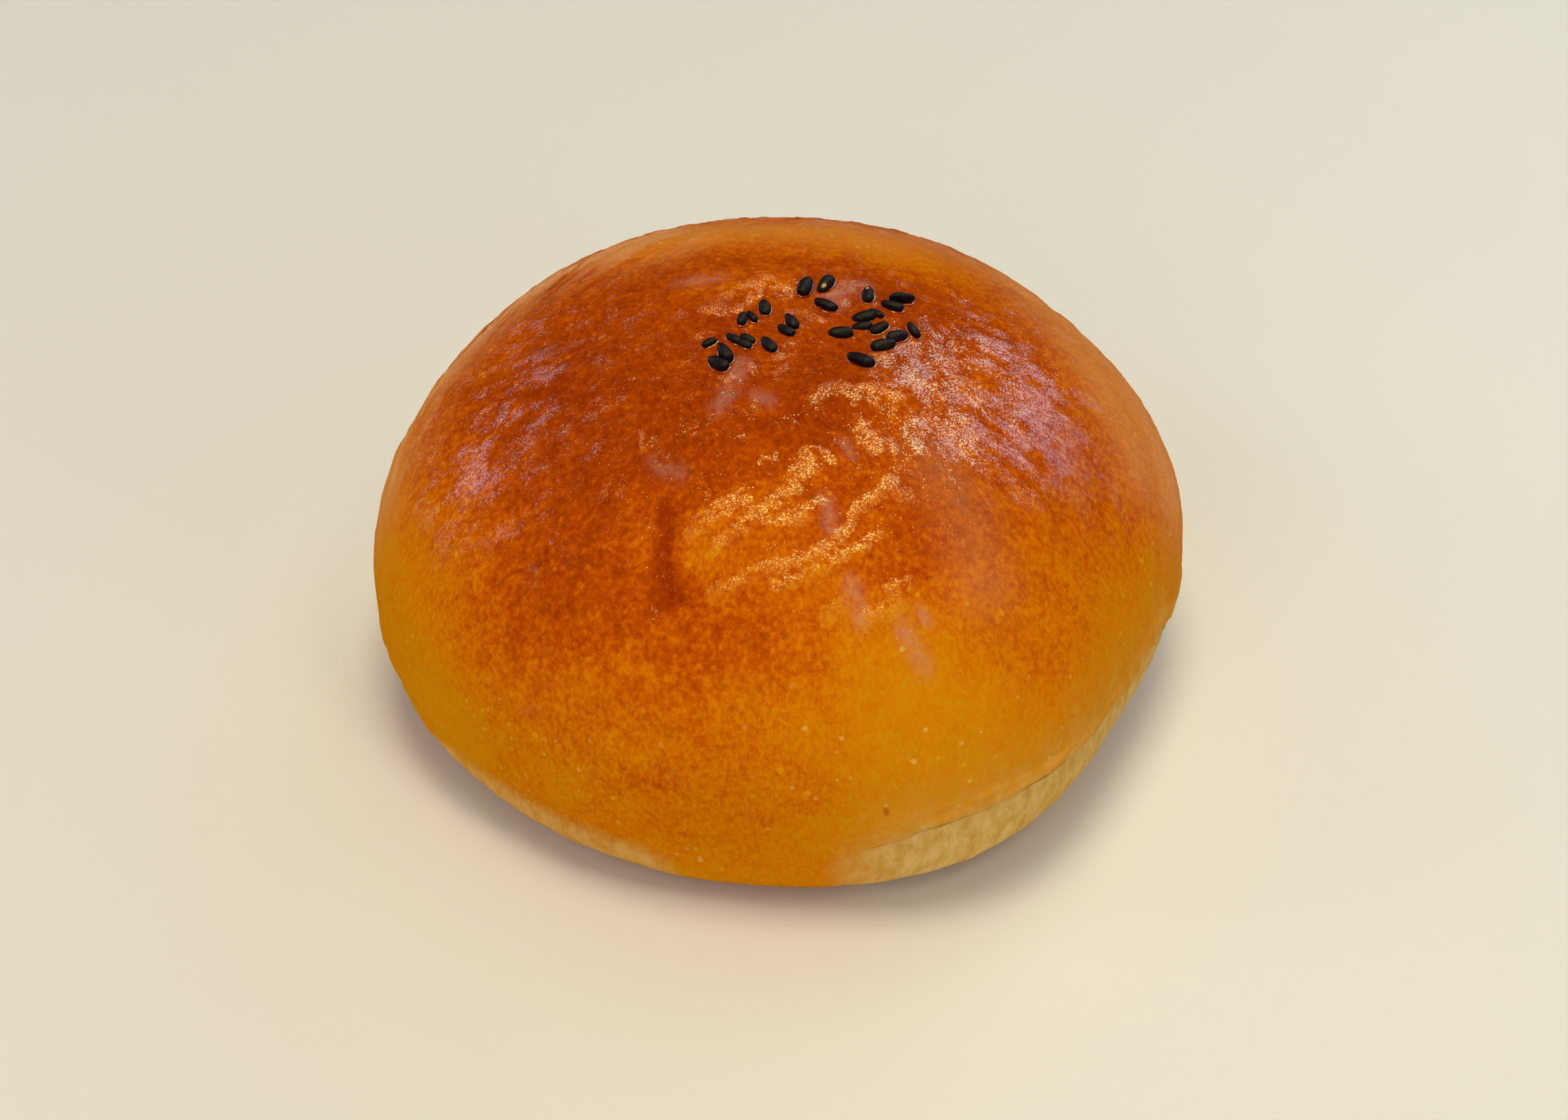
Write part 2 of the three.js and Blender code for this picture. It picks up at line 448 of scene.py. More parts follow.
@dataclass
class Shell:
    """Points and faces that become one mesh, with a value a point for each named attribute."""

    points: Array
    faces: list[Array]
    values: dict[str, Array] = field(default_factory=dict)

    def volume(self) -> float:
        """The enclosed volume, which is below 0 if the faces point inwards, by summed signed wedges."""
        total = 0.0
        for faces in self.faces:
            a = self.points[faces[:, 0]]
            for n in range(1, faces.shape[1] - 1):
                b, c = self.points[faces[:, n]], self.points[faces[:, n + 1]]
                total += float((a * np.cross(b, c)).sum()) / 6.0
        return total

    def outward(self) -> "Shell":
        """The same shell with its faces turned to point outwards."""
        if self.volume() >= 0.0:
            return self
        return Shell(self.points, [faces[:, ::-1] for faces in self.faces], self.values)

    @staticmethod
    def joined(shells: list["Shell"]) -> "Shell":
        """Several shells of one kind as one, with their points and values end to end."""
        starts = np.cumsum([0] + [len(s.points) for s in shells])
        kinds = range(len(shells[0].faces))
        faces = [np.concatenate([s.faces[k] + n for s, n in zip(shells, starts)]) for k in kinds]
        values = {key: np.concatenate([s.values[key] for s in shells]) for key in shells[0].values}
        return Shell(np.concatenate([s.points for s in shells]), faces, values)

    def piece(self, name: str, material: bpy.types.Material) -> bpy.types.Object:
        """Makes the mesh object, in metres and with smooth faces, at the origin.

        Args:
            name: the object's name.
            material: what it is dressed in.

        Returns:
            The new object, linked to the scene.
        """
        mesh = bpy.data.meshes.new(name)
        sides = [np.full(len(faces), faces.shape[1]) for faces in self.faces]
        totals = np.concatenate(sides)
        corners = np.concatenate([faces.ravel() for faces in self.faces])
        mesh.vertices.add(len(self.points))
        mesh.vertices.foreach_set("co", (self.points * MM).astype(np.float32).ravel())
        mesh.loops.add(len(corners))
        mesh.loops.foreach_set("vertex_index", corners.astype(np.int32))
        mesh.polygons.add(len(totals))
        mesh.polygons.foreach_set("loop_start", (np.cumsum(totals) - totals).astype(np.int32))
        mesh.polygons.foreach_set("use_smooth", np.ones(len(totals), bool))
        mesh.update(calc_edges=True)
        mesh.validate()
        for key, values in self.values.items():
            kind, part = ("FLOAT", "value") if values.ndim == 1 else ("FLOAT_VECTOR", "vector")
            attribute = mesh.attributes.new(key, kind, "POINT")
            attribute.data.foreach_set(part, values.astype(np.float32).ravel())
        mesh.materials.append(material)
        made = bpy.data.objects.new(name, mesh)
        bpy.context.scene.collection.objects.link(made)
        return made


# ---- Shader maths ----


class Link:
    """One output of a material's nodes, on which sums are written as Python expressions."""

    def __init__(self, nodes: "Nodes", socket: bpy.types.NodeSocket) -> None:
        """Keeps the socket and the node tree that it is in."""
        self.nodes = nodes
        self.socket = socket

    def __add__(self, other: "Link | float") -> "Link":
        """The sum of two values."""
        return self.nodes.math("ADD", self, other)

    def __sub__(self, other: "Link | float") -> "Link":
        """This value less another."""
        return self.nodes.math("SUBTRACT", self, other)

    def __rsub__(self, other: float) -> "Link":
        """A number less this value."""
        return self.nodes.math("SUBTRACT", other, self)

    def __mul__(self, other: "Link | float") -> "Link":
        """The product of two values."""
        return self.nodes.math("MULTIPLY", self, other)

    __radd__ = __add__
    __rmul__ = __mul__


@dataclass(frozen=True)
class Cloud:
    """Cloudy noise: the size of its features in millimetres, its layers, and how strong each finer one is."""

    size: float
    layers: float = 3.0
    rough: float = 0.55


class Nodes:
    """Builds one material's nodes. The numbers are those of a Mix node's colour sockets."""

    MIX_SIDES = (6, 7)
    MIX_RESULT = 2

    def __init__(self, name: str) -> None:
        """Makes the material and clears its nodes.

        Args:
            name: the material's name.
        """
        self.material = bpy.data.materials.new(name)
        self.material.use_nodes = True
        self.tree = self.material.node_tree
        self.tree.nodes.clear()

    def node(self, kind: str, settings: dict | None = None, inputs: dict | None = None) -> bpy.types.Node:
        """Makes any node.

        Args:
            kind: the node's type.
            settings: its own settings, with a ramp's stops under "stops".
            inputs: a value or a link for each socket, by the socket's name or number.

        Returns:
            The new node.
        """
        made = self.tree.nodes.new(kind)
        for key, value in (settings or {}).items():
            if key == "stops":
                self._set_stops(made.color_ramp, value)
            else:
                setattr(made, key, value)
        for key, value in (inputs or {}).items():
            if isinstance(value, Link):
                self.tree.links.new(value.socket, made.inputs[key])
            else:
                made.inputs[key].default_value = value
        return made

    @staticmethod
    def _set_stops(ramp: bpy.types.ColorRamp, stops: list[tuple[float, Colour]]) -> None:
        """Gives a ramp exactly these stops."""
        while len(ramp.elements) < len(stops):
            ramp.elements.new(1.0)
        for element, (place, colour) in zip(ramp.elements, stops):
            element.position = place
            element.color = (*colour, 1.0)

    def link(self, node: bpy.types.Node, output: str | int = 0) -> Link:
        """A node's output, ready for sums."""
        return Link(self, node.outputs[output])

    def math(self, operation: str, a: Link | float, b: Link | float) -> Link:
        """One Math node of two values."""
        return self.link(self.node("ShaderNodeMath", {"operation": operation}, {0: a, 1: b}))

    def eased(self, value: Link, edge: Edge) -> Link:
        """An eased share: 0 where the value is at the edge's first number, 1 where it is at its second."""
        settings = {"interpolation_type": "SMOOTHSTEP"}
        inputs = {"Value": value, "From Min": edge[0], "From Max": edge[1]}
        return self.link(self.node("ShaderNodeMapRange", settings, inputs))

    @staticmethod
    def weighed(parts: tuple[Link, ...], weights: Place) -> Link:
        """The parts added up, each by its own weight."""
        first, *rest = (part * weight for part, weight in zip(parts, weights))
        return sum(rest, first)

    def between(self, share: Link, ends: Edge) -> Link:
        """A straight line from the first end, where the share is 0, to the second, where it is 1."""
        return share * (ends[1] - ends[0]) + ends[0]

    def attribute(self, name: str, output: str = "Fac") -> Link:
        """The mesh's own value of this name, or with the output "Vector" its own place of this name."""
        return self.link(self.node("ShaderNodeAttribute", {"attribute_name": name}), output)

    def place(self) -> Link:
        """The place on the piece, in millimetres."""
        here = self.link(self.node("ShaderNodeTexCoord"), "Object")
        scaled = self.node("ShaderNodeVectorMath", {"operation": "SCALE"}, {0: here, "Scale": 1.0 / MM})
        return self.link(scaled)

    def noise(self, place: Link, cloud: Cloud) -> Link:
        """Cloudy noise at each place, from about 0 to 1."""
        inputs = {"Scale": 1.0 / cloud.size, "Detail": cloud.layers, "Roughness": cloud.rough}
        return self.link(self.node("ShaderNodeTexNoise", {}, {"Vector": place, **inputs}), "Fac")

    def swing(self, place: Link, cloud: Cloud) -> Link:
        """The same noise less its middle, so that it swings to both sides of nothing."""
        return self.noise(place, cloud) - 0.5

    def cells(self, place: Link, size: float) -> tuple[Link, Link]:
        """Scattered points about this far apart: the distance to the nearest, and its own random value."""
        made = self.node("ShaderNodeTexVoronoi", {}, {"Vector": place, "Scale": 1.0 / size})
        parts = self.node("ShaderNodeSeparateColor", {}, {0: self.link(made, "Color")})
        return self.link(made, "Distance"), self.link(parts)

    def blend(self, a: Link | Colour, b: Link | Colour, share: Link | float) -> Link:
        """Two colours mixed, with this share of the second."""
        sides = {n: c if isinstance(c, Link) else (*c, 1.0) for n, c in zip(self.MIX_SIDES, (a, b))}
        mixed = self.node("ShaderNodeMix", {"data_type": "RGBA"}, {0: share, **sides})
        return self.link(mixed, self.MIX_RESULT)

    def ramp(self, value: Link, stops: list[tuple[float, Colour]]) -> Link:
        """The colour at this value along a ramp."""
        return self.link(self.node("ShaderNodeValToRGB", {"stops": stops}, {0: value}))

    def bump(self, height: Link, depth: float, below: Link | None = None) -> Link:
        """A normal bent by a height of 0 to 1 that stands for this depth in millimetres."""
        inputs = {"Height": height, "Distance": depth * MM, "Strength": 1.0}
        if below is not None:
            inputs["Normal"] = below
        return self.link(self.node("ShaderNodeBump", {}, inputs))

    def vector(self, operation: str, a: Link, b: Place, output: str = "Vector") -> Link:
        """One Vector Math node of a vector and fixed numbers."""
        return self.link(self.node("ShaderNodeVectorMath", {"operation": operation}, {0: a, 1: b}), output)

    def shader(self, inputs: dict) -> Link:
        """One principled shader, with a value or a link for each of its sockets."""
        return self.link(self.node("ShaderNodeBsdfPrincipled", {}, inputs))

    def finish(self, shader: Link) -> bpy.types.Material:
        """Ends the material with this shader."""
        self.node("ShaderNodeOutputMaterial", {}, {"Surface": shader})
        return self.material


# ---- The crust ----


class Mask(Enum):
    """The values that the crust's mesh carries for its finish."""

    BROWN = "browning"
    PALE = "pale_band"
    GLAZE = "glaze"
    LIE = "grain_lie"
    SHEEN = "sheen"
    FROST = "frost"
    # Painted reflection: where the window's lavender glint is painted into the colour.
    BLOOM = "painted_reflection"
    # Painted haze: where the sheen of light reflected near the rim is painted into the colour.
    PAINTED_HAZE = "painted_haze"


@dataclass(frozen=True)
class Wrinkles:
    """A patch of fine creases that all run one way: its middle and heading seen from above, in degrees."""

    middle: tuple[float, float]
    heading: float
    spacing: float
    rise: float
    reach: float
    stretch: float = 4.0
    layers: int = 2
    offset: float = 3.7

    def lines(self, grain: Grain, form: Form, points: Array) -> tuple[Array, Array]:
        """Noise drawn out along the heading, and how near each point is by a bell round the middle.

        Each patch reads the noise further along by its own spacing, so that no two are alike.

        Args:
            grain: the noise.
            form: the form that the patch lies on.
            points: places on the crust.

        Returns:
            The noise, from about -1 to 1, and the nearness, from 0 to 1.
        """
        x, y = np.array(self.middle, float)
        middle = form.crown_points(x, y)
        rise = (middle[2] - form.belly_height) / form.dome_rise**2
        normal = unit(np.array([x / form.belly_radius**2, y / form.belly_radius**2, rise]))
        heading = math.radians(self.heading)
        way = np.array([math.cos(heading), math.sin(heading), 0.0])
        along = unit(way - normal * (way @ normal))
        across = np.cross(normal, along)
        away = points - middle
        drawn_out = self.spacing * self.stretch
        axes = ((along, drawn_out), (across, self.spacing), (normal, drawn_out))
        place = np.stack([away @ axis / size for axis, size in axes], -1)
        noise = grain.layered(place + self.offset * self.spacing, self.layers)
        return noise, bell(np.linalg.norm(away, axis=-1) / self.reach)

    def relief(self, grain: Grain, form: Form, points: Array) -> Array:
        """The lines as millimetres outwards: the noise by its rise and its nearness."""
        noise, near = self.lines(grain, form, points)
        return self.rise * near * noise


@dataclass
class Crust:
    """The whole skin of the bun, with its wrinkles and its baked colours.

    Ridges stand up on the crown and carry grainy glaze, and creases are the finer lines and grooves. The
    painted reflections are the lavender glints of the window, painted into the colour as patches. The painted
    hazes and their patches are the sheen of light reflected near the rim and on the shoulders, painted in as
    well. Rolls are the pale skin over the foot, held darker as painted shade. Films are patches of gloss:
    place, reach and share.
    Stains deepen or lighten the browning, and a few, as marked, are painted shade or painted highlight glow.
    Clouds
    deepen or lighten it softly everywhere: share, size and layers.
    """

    form: Form
    rings: tuple[int, ...] = (98, 18, 28)
    foot_rows: int = 8
    ridges: tuple[Stroke, ...] = strokes(
        (1.5, 0.3, (9.1, -19.5), (10.4, -21.4)), (0.8, 0.14, (12.2, -20.4), (12.6, -21.8)),
        (1.3, 0.26, (2, -25.2), (3.4, -24.4)), (0.7, 0.2, (4.8, -22.7), (5.7, -23.9)),
        (0.7, 0.18, (2.6, -22.7), (3.5, -22.3)), (0.6, 0.16, (-2.1, -23.6), (-0.6, -23)),
        (0.8, 0.3, (6.4, -31.6), (7.4, -30.8), (8.5, -28.8), (10.4, -27.2), (12.2, -26.2)),
        (1.2, 0.26, (11.8, -25.9), (13.7, -26.9)),
        (1, 0.32, (-4, -30.7), (-2.6, -29.4), (-0.7, -28.1), (1.6, -26.8)),
        (1.2, 0.24, (-9.6, -30.4), (-8.2, -29.4), (-6.5, -28.4), (-4.1, -27.3)),
        (1, 0.3, (-0.8, -30.4), (0.8, -30.1), (2.6, -29.5), (4.7, -28.3)),
        (0.8, 0.22, (-7.1, -32.2), (-5.5, -31.1), (-4, -30.3)),
        (0.9, 0.3, (-7.4, -36.3), (-5.4, -35.8), (-3.1, -34.9), (0, -34.2), (3, -33.7), (5.7, -32.4)),
        (0.8, 0.32, (-0.6, -36.4), (3.1, -35.4), (5.5, -34.4), (7.1, -33.3), (8.8, -32.8), (10.5, -31.5)),
        (1.1, 0.28, (9.3, -38.8), (11.3, -38.3), (12.9, -37.4)), (0.8, 0.2, (11.7, -36.1), (14, -35.5)),
        (0.9, 0.18, (4.8, -38.7), (7, -37.5)), (0.4, 0.16, (-15.3, -17.9), (-15.2, -20.6)),
        (0.8, 0.16, (-9, -0.5), (-7.6, -0.5), (-6.5, 1.1), (-5.6, 2.6)),
        (0.6, 0.12, (-8.5, -1.3), (-6.1, -1.5), (-4.7, -0.6), (-3.6, 0.9), (-2.4, 2.3)),
        (1, 0.1, (-4.4, 3.6), (-3.2, 4.3), (-2.3, 3.7)), (0.7, 0.08, (-1.8, 5.4), (-0.9, 5.1)),
        (0.9, 0.08, (-0.3, 3.7), (0.9, 3.7)), (0.9, 0.08, (1.3, -0.4), (3.1, -0.7)),
        (0.6, 0.06, (4.2, -1.7), (5, -2.1)), (0.6, 0.12, (-9.6, -5), (-8.1, -4.7)),
        (0.5, 0.1, (-4.3, -9.3), (-3.6, -9.6)), (0.6, 0.12, (-3.3, -10.7), (-2.7, -12.2)),
        (0.7, 0.12, (-0.6, -9.2), (0.4, -8.4)), (0.6, 0.08, (-0.6, -12.1), (0.8, -10.3)),
        (0.6, 0.12, (-6.4, -12.8), (-5.5, -12.7)), (0.5, 0.08, (10.6, -8.1), (11.5, -8.4)),
        (1, 0.16, (3.9, -15.8), (5.1, -14.7), (6.4, -13.2), (7.3, -14.4)),
        (1, 0.16, (8.1, -15.6), (9.3, -14.3), (10.4, -14), (10.4, -15.2)),
        (0.8, 0.16, (11.3, -14.4), (13.5, -14.4)),
    )
    creases: tuple[Stroke, ...] = strokes(
        (0.55, 0.16, (-23.2, 2.2), (-20.8, 0), (-17.5, -3.7), (-14.9, -4.6), (-9.2, -6.2)),
        (0.6, 0.13, (-19.8, -7.2), (-16.5, -8.4), (-12.5, -8.3), (-8.5, -7.7)),
        (0.8, -0.4, (-37.5, -27, 8.2), (-33.5, -31.5, 8.4), (-29, -36, 8.8), (-24.5, -39.5, 9)),
        (0.8, -0.4, (-24.5, -39.5, 9), (-19.5, -42.2, 8.9), (-15.5, -43.6, 8.2)),
    )
    # Painted reflections: lavender glints of the window, painted into the colour as patches.
    painted_reflections: tuple[Stroke, ...] = strokes(
        (0.8, 0.45, (5, -28.3), (5.5, -30.9)), (0.9, 0.4, (7.7, -36.2), (8.6, -38.6)),
        (0.9, 0.35, (13.2, -39.3), (15.5, -41.4)), (0.5, 0.4, (15.1, -37.4), (15.8, -38.1)),
        (0.6, 0.4, (7, -21.1), (7.8, -22.7)), (0.9, 0.3, (-13.7, -22), (-11.1, -23.8)),
        (1.1, 0.8, (5.4, 2.9), (7.1, 3.6), (9.3, 4.5)), (0.9, 0.7, (-4.2, -10.3), (-4.9, -12.1)),
        (1, 0.5, (-5.5, -14.2), (-6.7, -16.5)), (0.8, 0.35, (-2.7, -15.4), (-1.3, -16.1)),
        (0.7, 0.5, (7, 1.4), (6.6, 0.5)), (1.2, 0.4, (-10.9, 6.3), (-7.3, 6.1)),
    )
    # Painted hazes: bands of the sheen of reflected light along the rim, painted into the colour.
    painted_hazes: tuple[Stroke, ...] = strokes(
        (8, 1, (-46, 1, 27.5), (-43, 9.5, 31.5), (-39, 15.5, 34.2), (-33.5, 20, 37.5)),
        (7.5, 1, (-33.5, 20, 37.5), (-27.5, 22, 40.8), (-20, 22.5, 44), (-14, 23, 45.8)),
        (5, 0.5, (-14, 23, 45.8), (-1, 24.5, 46.8)),
        (6, 0.5, (4, 25, 46.5), (17, 24, 44.5), (28, 21.5, 40.5)),
        (7, 0.65, (28, 21.5, 40.5), (36, 14, 37), (42.5, 6, 32.5), (46, -1.5, 27)),
    )
    # Patches of the same painted haze: reflected sheen on the back rim and the right shoulder.
    painted_haze_patches: tuple[Stroke, ...] = strokes(
        (5, 0.45, (30, 13, 42), (37.7, 3, 38.8), (42, -6, 33)),
        (5, 0.28, (-12, 21, 47), (0, 21, 48.5), (12, 20, 47.5)),
        (4, 0.2, (18, -23, 45.5), (20.5, -28, 41.8), (22, -33, 38)),
    )
    # Partly painted shade: the rolls are the pale dough over the front-left foot, held at about six tenths
    # pale because that foot lies in shade.
    rolls: tuple[Stroke, ...] = strokes(
        (3.9, 0.6, (-38.5, -24.5, 3.6), (-34.5, -29.5, 4), (-29.5, -34.5, 4.4), (-25, -38, 4.6)),
        (4.1, 0.65, (-25, -38, 4.6), (-20, -41, 4.4), (-15.5, -42.5, 4)),
    )
    # Lines that break the painted haze on the left rim, as lit wrinkle crests.
    painted_haze_lines: Wrinkles = Wrinkles((-31, 18), 44, 1.9, 1.0, 34, 8.0)
    wrinkles: tuple[Wrinkles, ...] = (
        Wrinkles((2, -31), 28, 2.2, 0.14, 13),
        Wrinkles((-18, -3), -28, 1.8, 0.12, 8, 5.0),
        Wrinkles((0, 26), 2, 2.8, 0.20, 20, 6.0),
        Wrinkles((-31, 14), 58, 1.5, 0.12, 12, 7.0),
        Wrinkles((3, 4), 10, 2.4, 0.12, 12, 2.0),
        Wrinkles((26, -8), -17, 1.3, 0.07, 14, 3.5),
        Wrinkles((-29, -12), 205, 1.1, 0.07, 12, 3.0),
        Wrinkles((17, -33), -60, 1.6, 0.05, 8, 3.0),
    )
    swell_size: float = 9.0
    swell_rise: float = 0.24
    plate_size: float = 4.2
    plate_rise: float = 0.11
    plate_steps: float = 2.6
    plate_edge: float = 0.35
    leather_size: float = 1.25
    leather_rise: float = 0.06
    leather_shares: Edge = (0.8, 0.2)
    warp: float = 1.2
    warp_size: float = 3.0
    warp_offsets: Place = (0.0, 31.0, 67.0)
    dome_from: float = 12.0
    dome_climb: float = 18.0
    draw: float = 1.8
    draw_out: float = 0.6
    crown_reach: float = 24.0
    crease_rise: float = 0.3
    crease_sizes: Edge = (6.0, 1.3)
    crease_over: float = 1.5
    crease_reach: float = 2.5
    groove_depth: float = 0.2
    groove_width: float = 0.45
    groove_bar: float = 0.8
    band_rise: float = 0.16
    band_sizes: Edge = (2.2, 9.0)
    band_below: float = 1.5
    band_foot: float = 2.0
    crown_brown: float = 0.8
    foot_brown: float = 0.42
    foot_joint: float = 5.0
    clouds: tuple[tuple[float, float, int], ...] = ((0.11, 12.0, 3), (0.06, 3.0, 2))
    edge_sizes: Edge = (5.0, 3.0)
    under_from: float = 0.6
    under_waver: float = 0.7
    under_span: float = 1.1
    fade_share: float = 0.55
    fade_reach: float = 2.8
    fade_waver: float = 1.6
    roll_gain: float = 2.2
    roll_bar: float = 0.5
    roll_waver: float = 0.3
    painted_haze_bar: float = 0.2
    painted_haze_contrast: float = 3.0
    film_share: float = 0.15
    ridge_film: float = 0.98
    films: tuple[tuple[Place, float, float], ...] = (
        ((0, 30, 45), 22, 0.3),
        ((-30, -8, 40), 17, 0.36),
        ((3, -27, 46), 16, 0.1),
        ((26, -9, 44), 12, 0.62),
        ((17, -19.5, 46.9), 4.5, 0.6),
        ((34, -14, 38.5), 6, 0.6),
        ((22.6, -8.9, 46.7), 4, 0.38),
        ((-35, -17, 36), 7, 0.44),
        ((15, -9, 50), 5, 0.6),
    )
    stains: tuple[Stroke, ...] = strokes(
        (1.6, 0.4, (-12.6, -28), (-11.8, -35)), (8, -0.42, (-14, 21), (2, 19), (17, 15)),
        (4.5, -0.24, (-8.5, 4.5), (-1, 5.5)), (9, -0.2, (37.7, 2.3, 38.8), (33, 18, 38)),
        (8, -0.16, (-45.7, -8.9, 27.3), (-43, 10, 28)), (8, -0.1, (20, -44.8, 24.8), (12, -46, 24)),
        (2.6, 0.08, (4, -18.5), (16, -19.5)),
        (1.6, 0.05, (-19.6, -43.1, 18.7), (-14.6, -44.9, 20), (-9.8, -46.3, 17.5)),
        (8, 0.1, (-26, -33.2, 34.5), (-6, -37, 39)), (8, 0.1, (-27.3, -11.3, 44.6), (-16, -24, 45)),
        # Partly painted highlight: the stroke of -0.12 from (-1.5, -28) to (10, -28.5) lightens the base
        # where the lamps' golden highlight glows, partly as paler glaze.
        (6, 0.04, (-10, -18), (2, -17)), (6, -0.12, (-1.5, -28), (10, -28.5)),
        # Partly painted highlight: the stroke of -0.12 from (-8, -33) to (9, -38) lightens the base under the
        # glinting front ridges, partly as their paler glaze.
        (4.5, -0.12, (-8, -33), (9, -38)), (10, -0.1, (14, -42.5, 33), (38.1, -24.7, 25.7)),
        (8, -0.12, (16, -44.5, 24), (26, -40, 20)), (9, -0.06, (-38.4, -27.9, 18.1), (-41.6, -20.3, 24)),
        # Painted shade: the stroke of rise 0.14 along the front-left foot darkens it where shade falls near
        # the floor.
        (5, 0.07, (-20, -43, 11), (-4, -47, 10)), (6, 0.14, (-33, -33, 6), (-18, -42, 5), (3, -46, 4)),
        (7, -0.07, (41, -18, 20), (35, -33, 18), (20, -45, 17)),
        (6, -0.1, (20.4, -17.8, 45.7), (28, -22.7, 39.8)), (6, -0.1, (2, -46, 30), (18, -42, 32)),
        (3, -0.1, (13.2, -17, 48.5), (13, -12.5, 49.6)),
        (3.8, -0.22, (-14.4, -28.8, 42.3), (-11, -31.5, 41.5)),
        # Partly painted highlight: this stroke lightens the base under the golden highlight near (9.3, -20),
        # partly as paler glaze.
        (3.4, -0.12, (9.3, -20.9, 47.9), (9.3, -19, 48.3)),
        (4.5, -0.14, (22.6, -8.9, 46.7), (24, -6, 46.7)), (4, -0.1, (16.1, -37.1, 37.7), (18, -35.5, 38)),
        (9, 0.06, (-28, -36, 22), (0, -47.5, 22), (28, -38, 22)), (8, 0.07, (-22, -22, 44), (-20, -6, 47)),
        (5, 0.06, (-30, -35, 12), (-10, -46, 12), (2, -47, 10)),
    )

    def disc(self) -> tuple[Array, Array]:
        """The angle and the level of every point of a square grid that is wrapped round the bun.

        Square rings of the grid become rings round the bun. A point's angle goes evenly round its ring from
        one diagonal to the next, so the faces stay nearly square from the crown down to the foot.

        Returns:
            Angles in degrees and levels, each on the grid.
        """
        reach = sum(self.rings)
        steps = np.arange(-reach, reach + 1)
        a, b = np.meshgrid(steps, steps, indexing="ij")
        ring = np.maximum(np.abs(a), np.abs(b))
        safe = np.maximum(ring, 1)
        sideways = np.abs(a) >= np.abs(b)
        angle = np.where(sideways, 45.0 * b / safe, 90.0 - 45.0 * a / safe)
        turned = np.where(sideways, a < 0, b < 0)
        angle = np.where(turned, np.where(sideways, 180.0 - 45.0 * b / safe, 270.0 + 45.0 * a / safe), angle)
        starts = np.cumsum([0, *self.rings])
        level = np.interp(ring, starts, np.arange(len(starts)))
        return angle, level

    def lie(self, points: Array) -> Array:
        """Places for grain that is drawn out down the sides: round the bun, and the fall divided by the draw.

        The distance out is pushed to the girth away from the crown by a bell, so that only the crown keeps
        its own. The way down is the distance out plus the drop, which goes on smoothly to the foot.
        """
        angle = np.arctan2(points[..., 1], points[..., 0])
        out = np.hypot(points[..., 0], points[..., 1])
        near_crown = bell(out / self.crown_reach)
        reach = out * near_crown + self.form.belly_radius * (1.0 - near_crown)
        down = self.draw_out * out + self.form.belly_height + self.form.dome_rise - points[..., 2]
        return np.stack([reach * np.cos(angle), reach * np.sin(angle), down / self.draw], -1)

    def fine_relief(self, points: Array, over: Array, depth: Array) -> Array:
        """The ridges, the wrinkles, the leathery crinkle and the creases of the band, in millimetres.

        Args:
            points: places on the smooth skin.
            over: how far each is over the seam.
            depth: the depth of the fold there.

        Returns:
            Millimetres outwards at each.
        """
        coarse, fine = Grain(Draw.COARSE), Grain(Draw.FINE)
        height = points[..., 2]
        dome = smooth((height - self.dome_from) / self.dome_climb)
        total = summed((*self.ridges, *self.creases), points)
        for n, patch in enumerate(self.wrinkles):
            total = total + patch.relief(Grain(Draw.WRINKLE + n), self.form, points)
        pushed = [fine.at(points / self.warp_size + offset) for offset in self.warp_offsets]
        drifting = self.lie(points) + self.warp * np.stack(pushed, -1)
        plates = terraced(self.plate_steps * coarse.layered(drifting / self.plate_size, 2), self.plate_edge)
        leather = self.leather_rise * fine.layered(drifting / self.leather_size, 3)
        leather = leather * (self.leather_shares[0] + self.leather_shares[1] * dome)
        total = total + self.swell_rise * coarse.layered(points / self.swell_size, 2) * dome
        total = total + (self.plate_rise * plates + leather) * dome
        angle = np.arctan2(points[..., 1], points[..., 0])
        around = self.form.belly_radius * angle
        along, across = self.crease_sizes
        folded = coarse.layered(on_plane(around / along, over / across), 2)
        near_lip = bell((over - self.crease_over) / self.crease_reach)
        total = total + self.crease_rise * folded * depth * near_lip
        over_pale = smooth(2.0 * self.form.paleness(np.degrees(angle)) - self.groove_bar)
        total = total - self.groove_depth * smooth(depth) * over_pale * bell(over / self.groove_width)
        along, upright = self.band_sizes
        creased = self.band_rise * coarse.layered(on_plane(around / along, height / upright), 2)
        creased = creased * smooth(depth) * smooth(-over / self.band_below)
        return total + creased * smooth(height / self.band_foot)

    def browning(self, points: Array) -> Array:
        """How far the crust has browned: by height, with soft clouds and the darker stains.

        Args:
            points: places on the crust.

        Returns:
            0 for the palest to 1 for the darkest.
        """
        grain = Grain(Draw.CLOUDS)
        height = self.crown_brown * points[..., 2] / (self.form.belly_height + self.form.dome_rise)
        soft = sum(share * grain.layered(points / size, layers) for share, size, layers in self.clouds)
        return np.clip(height + soft + summed(self.stains, points), 0.0, 1.0)

    def pale(self, points: Array, angle: Array, over: Array) -> Array:
        """How pale the dough is: under the seam, fading out above it, and on the rolls.

        Args:
            points: places on the crust.
            angle: their angles round the bun, in degrees.
            over: how far each is over the seam.

        Returns:
            0 for baked crust to 1 for the palest dough.
        """
        along, up = self.edge_sizes
        waver = Grain(Draw.EDGE).layered(on_plane(angle / along, over / up), 2)
        under = smooth((self.under_from - over + self.under_waver * waver) / self.under_span)
        fade = self.fade_reach + self.fade_waver * waver
        above = self.fade_share * np.exp(-np.maximum(over, 0.0) / fade)
        start = self.roll_waver * waver - self.roll_bar
        rolled = [r.rise * smooth(self.roll_gain * r.closeness(points) + start) for r in self.rolls]
        return np.maximum(self.form.paleness(angle) * np.maximum(under, above), np.max(rolled, axis=0))

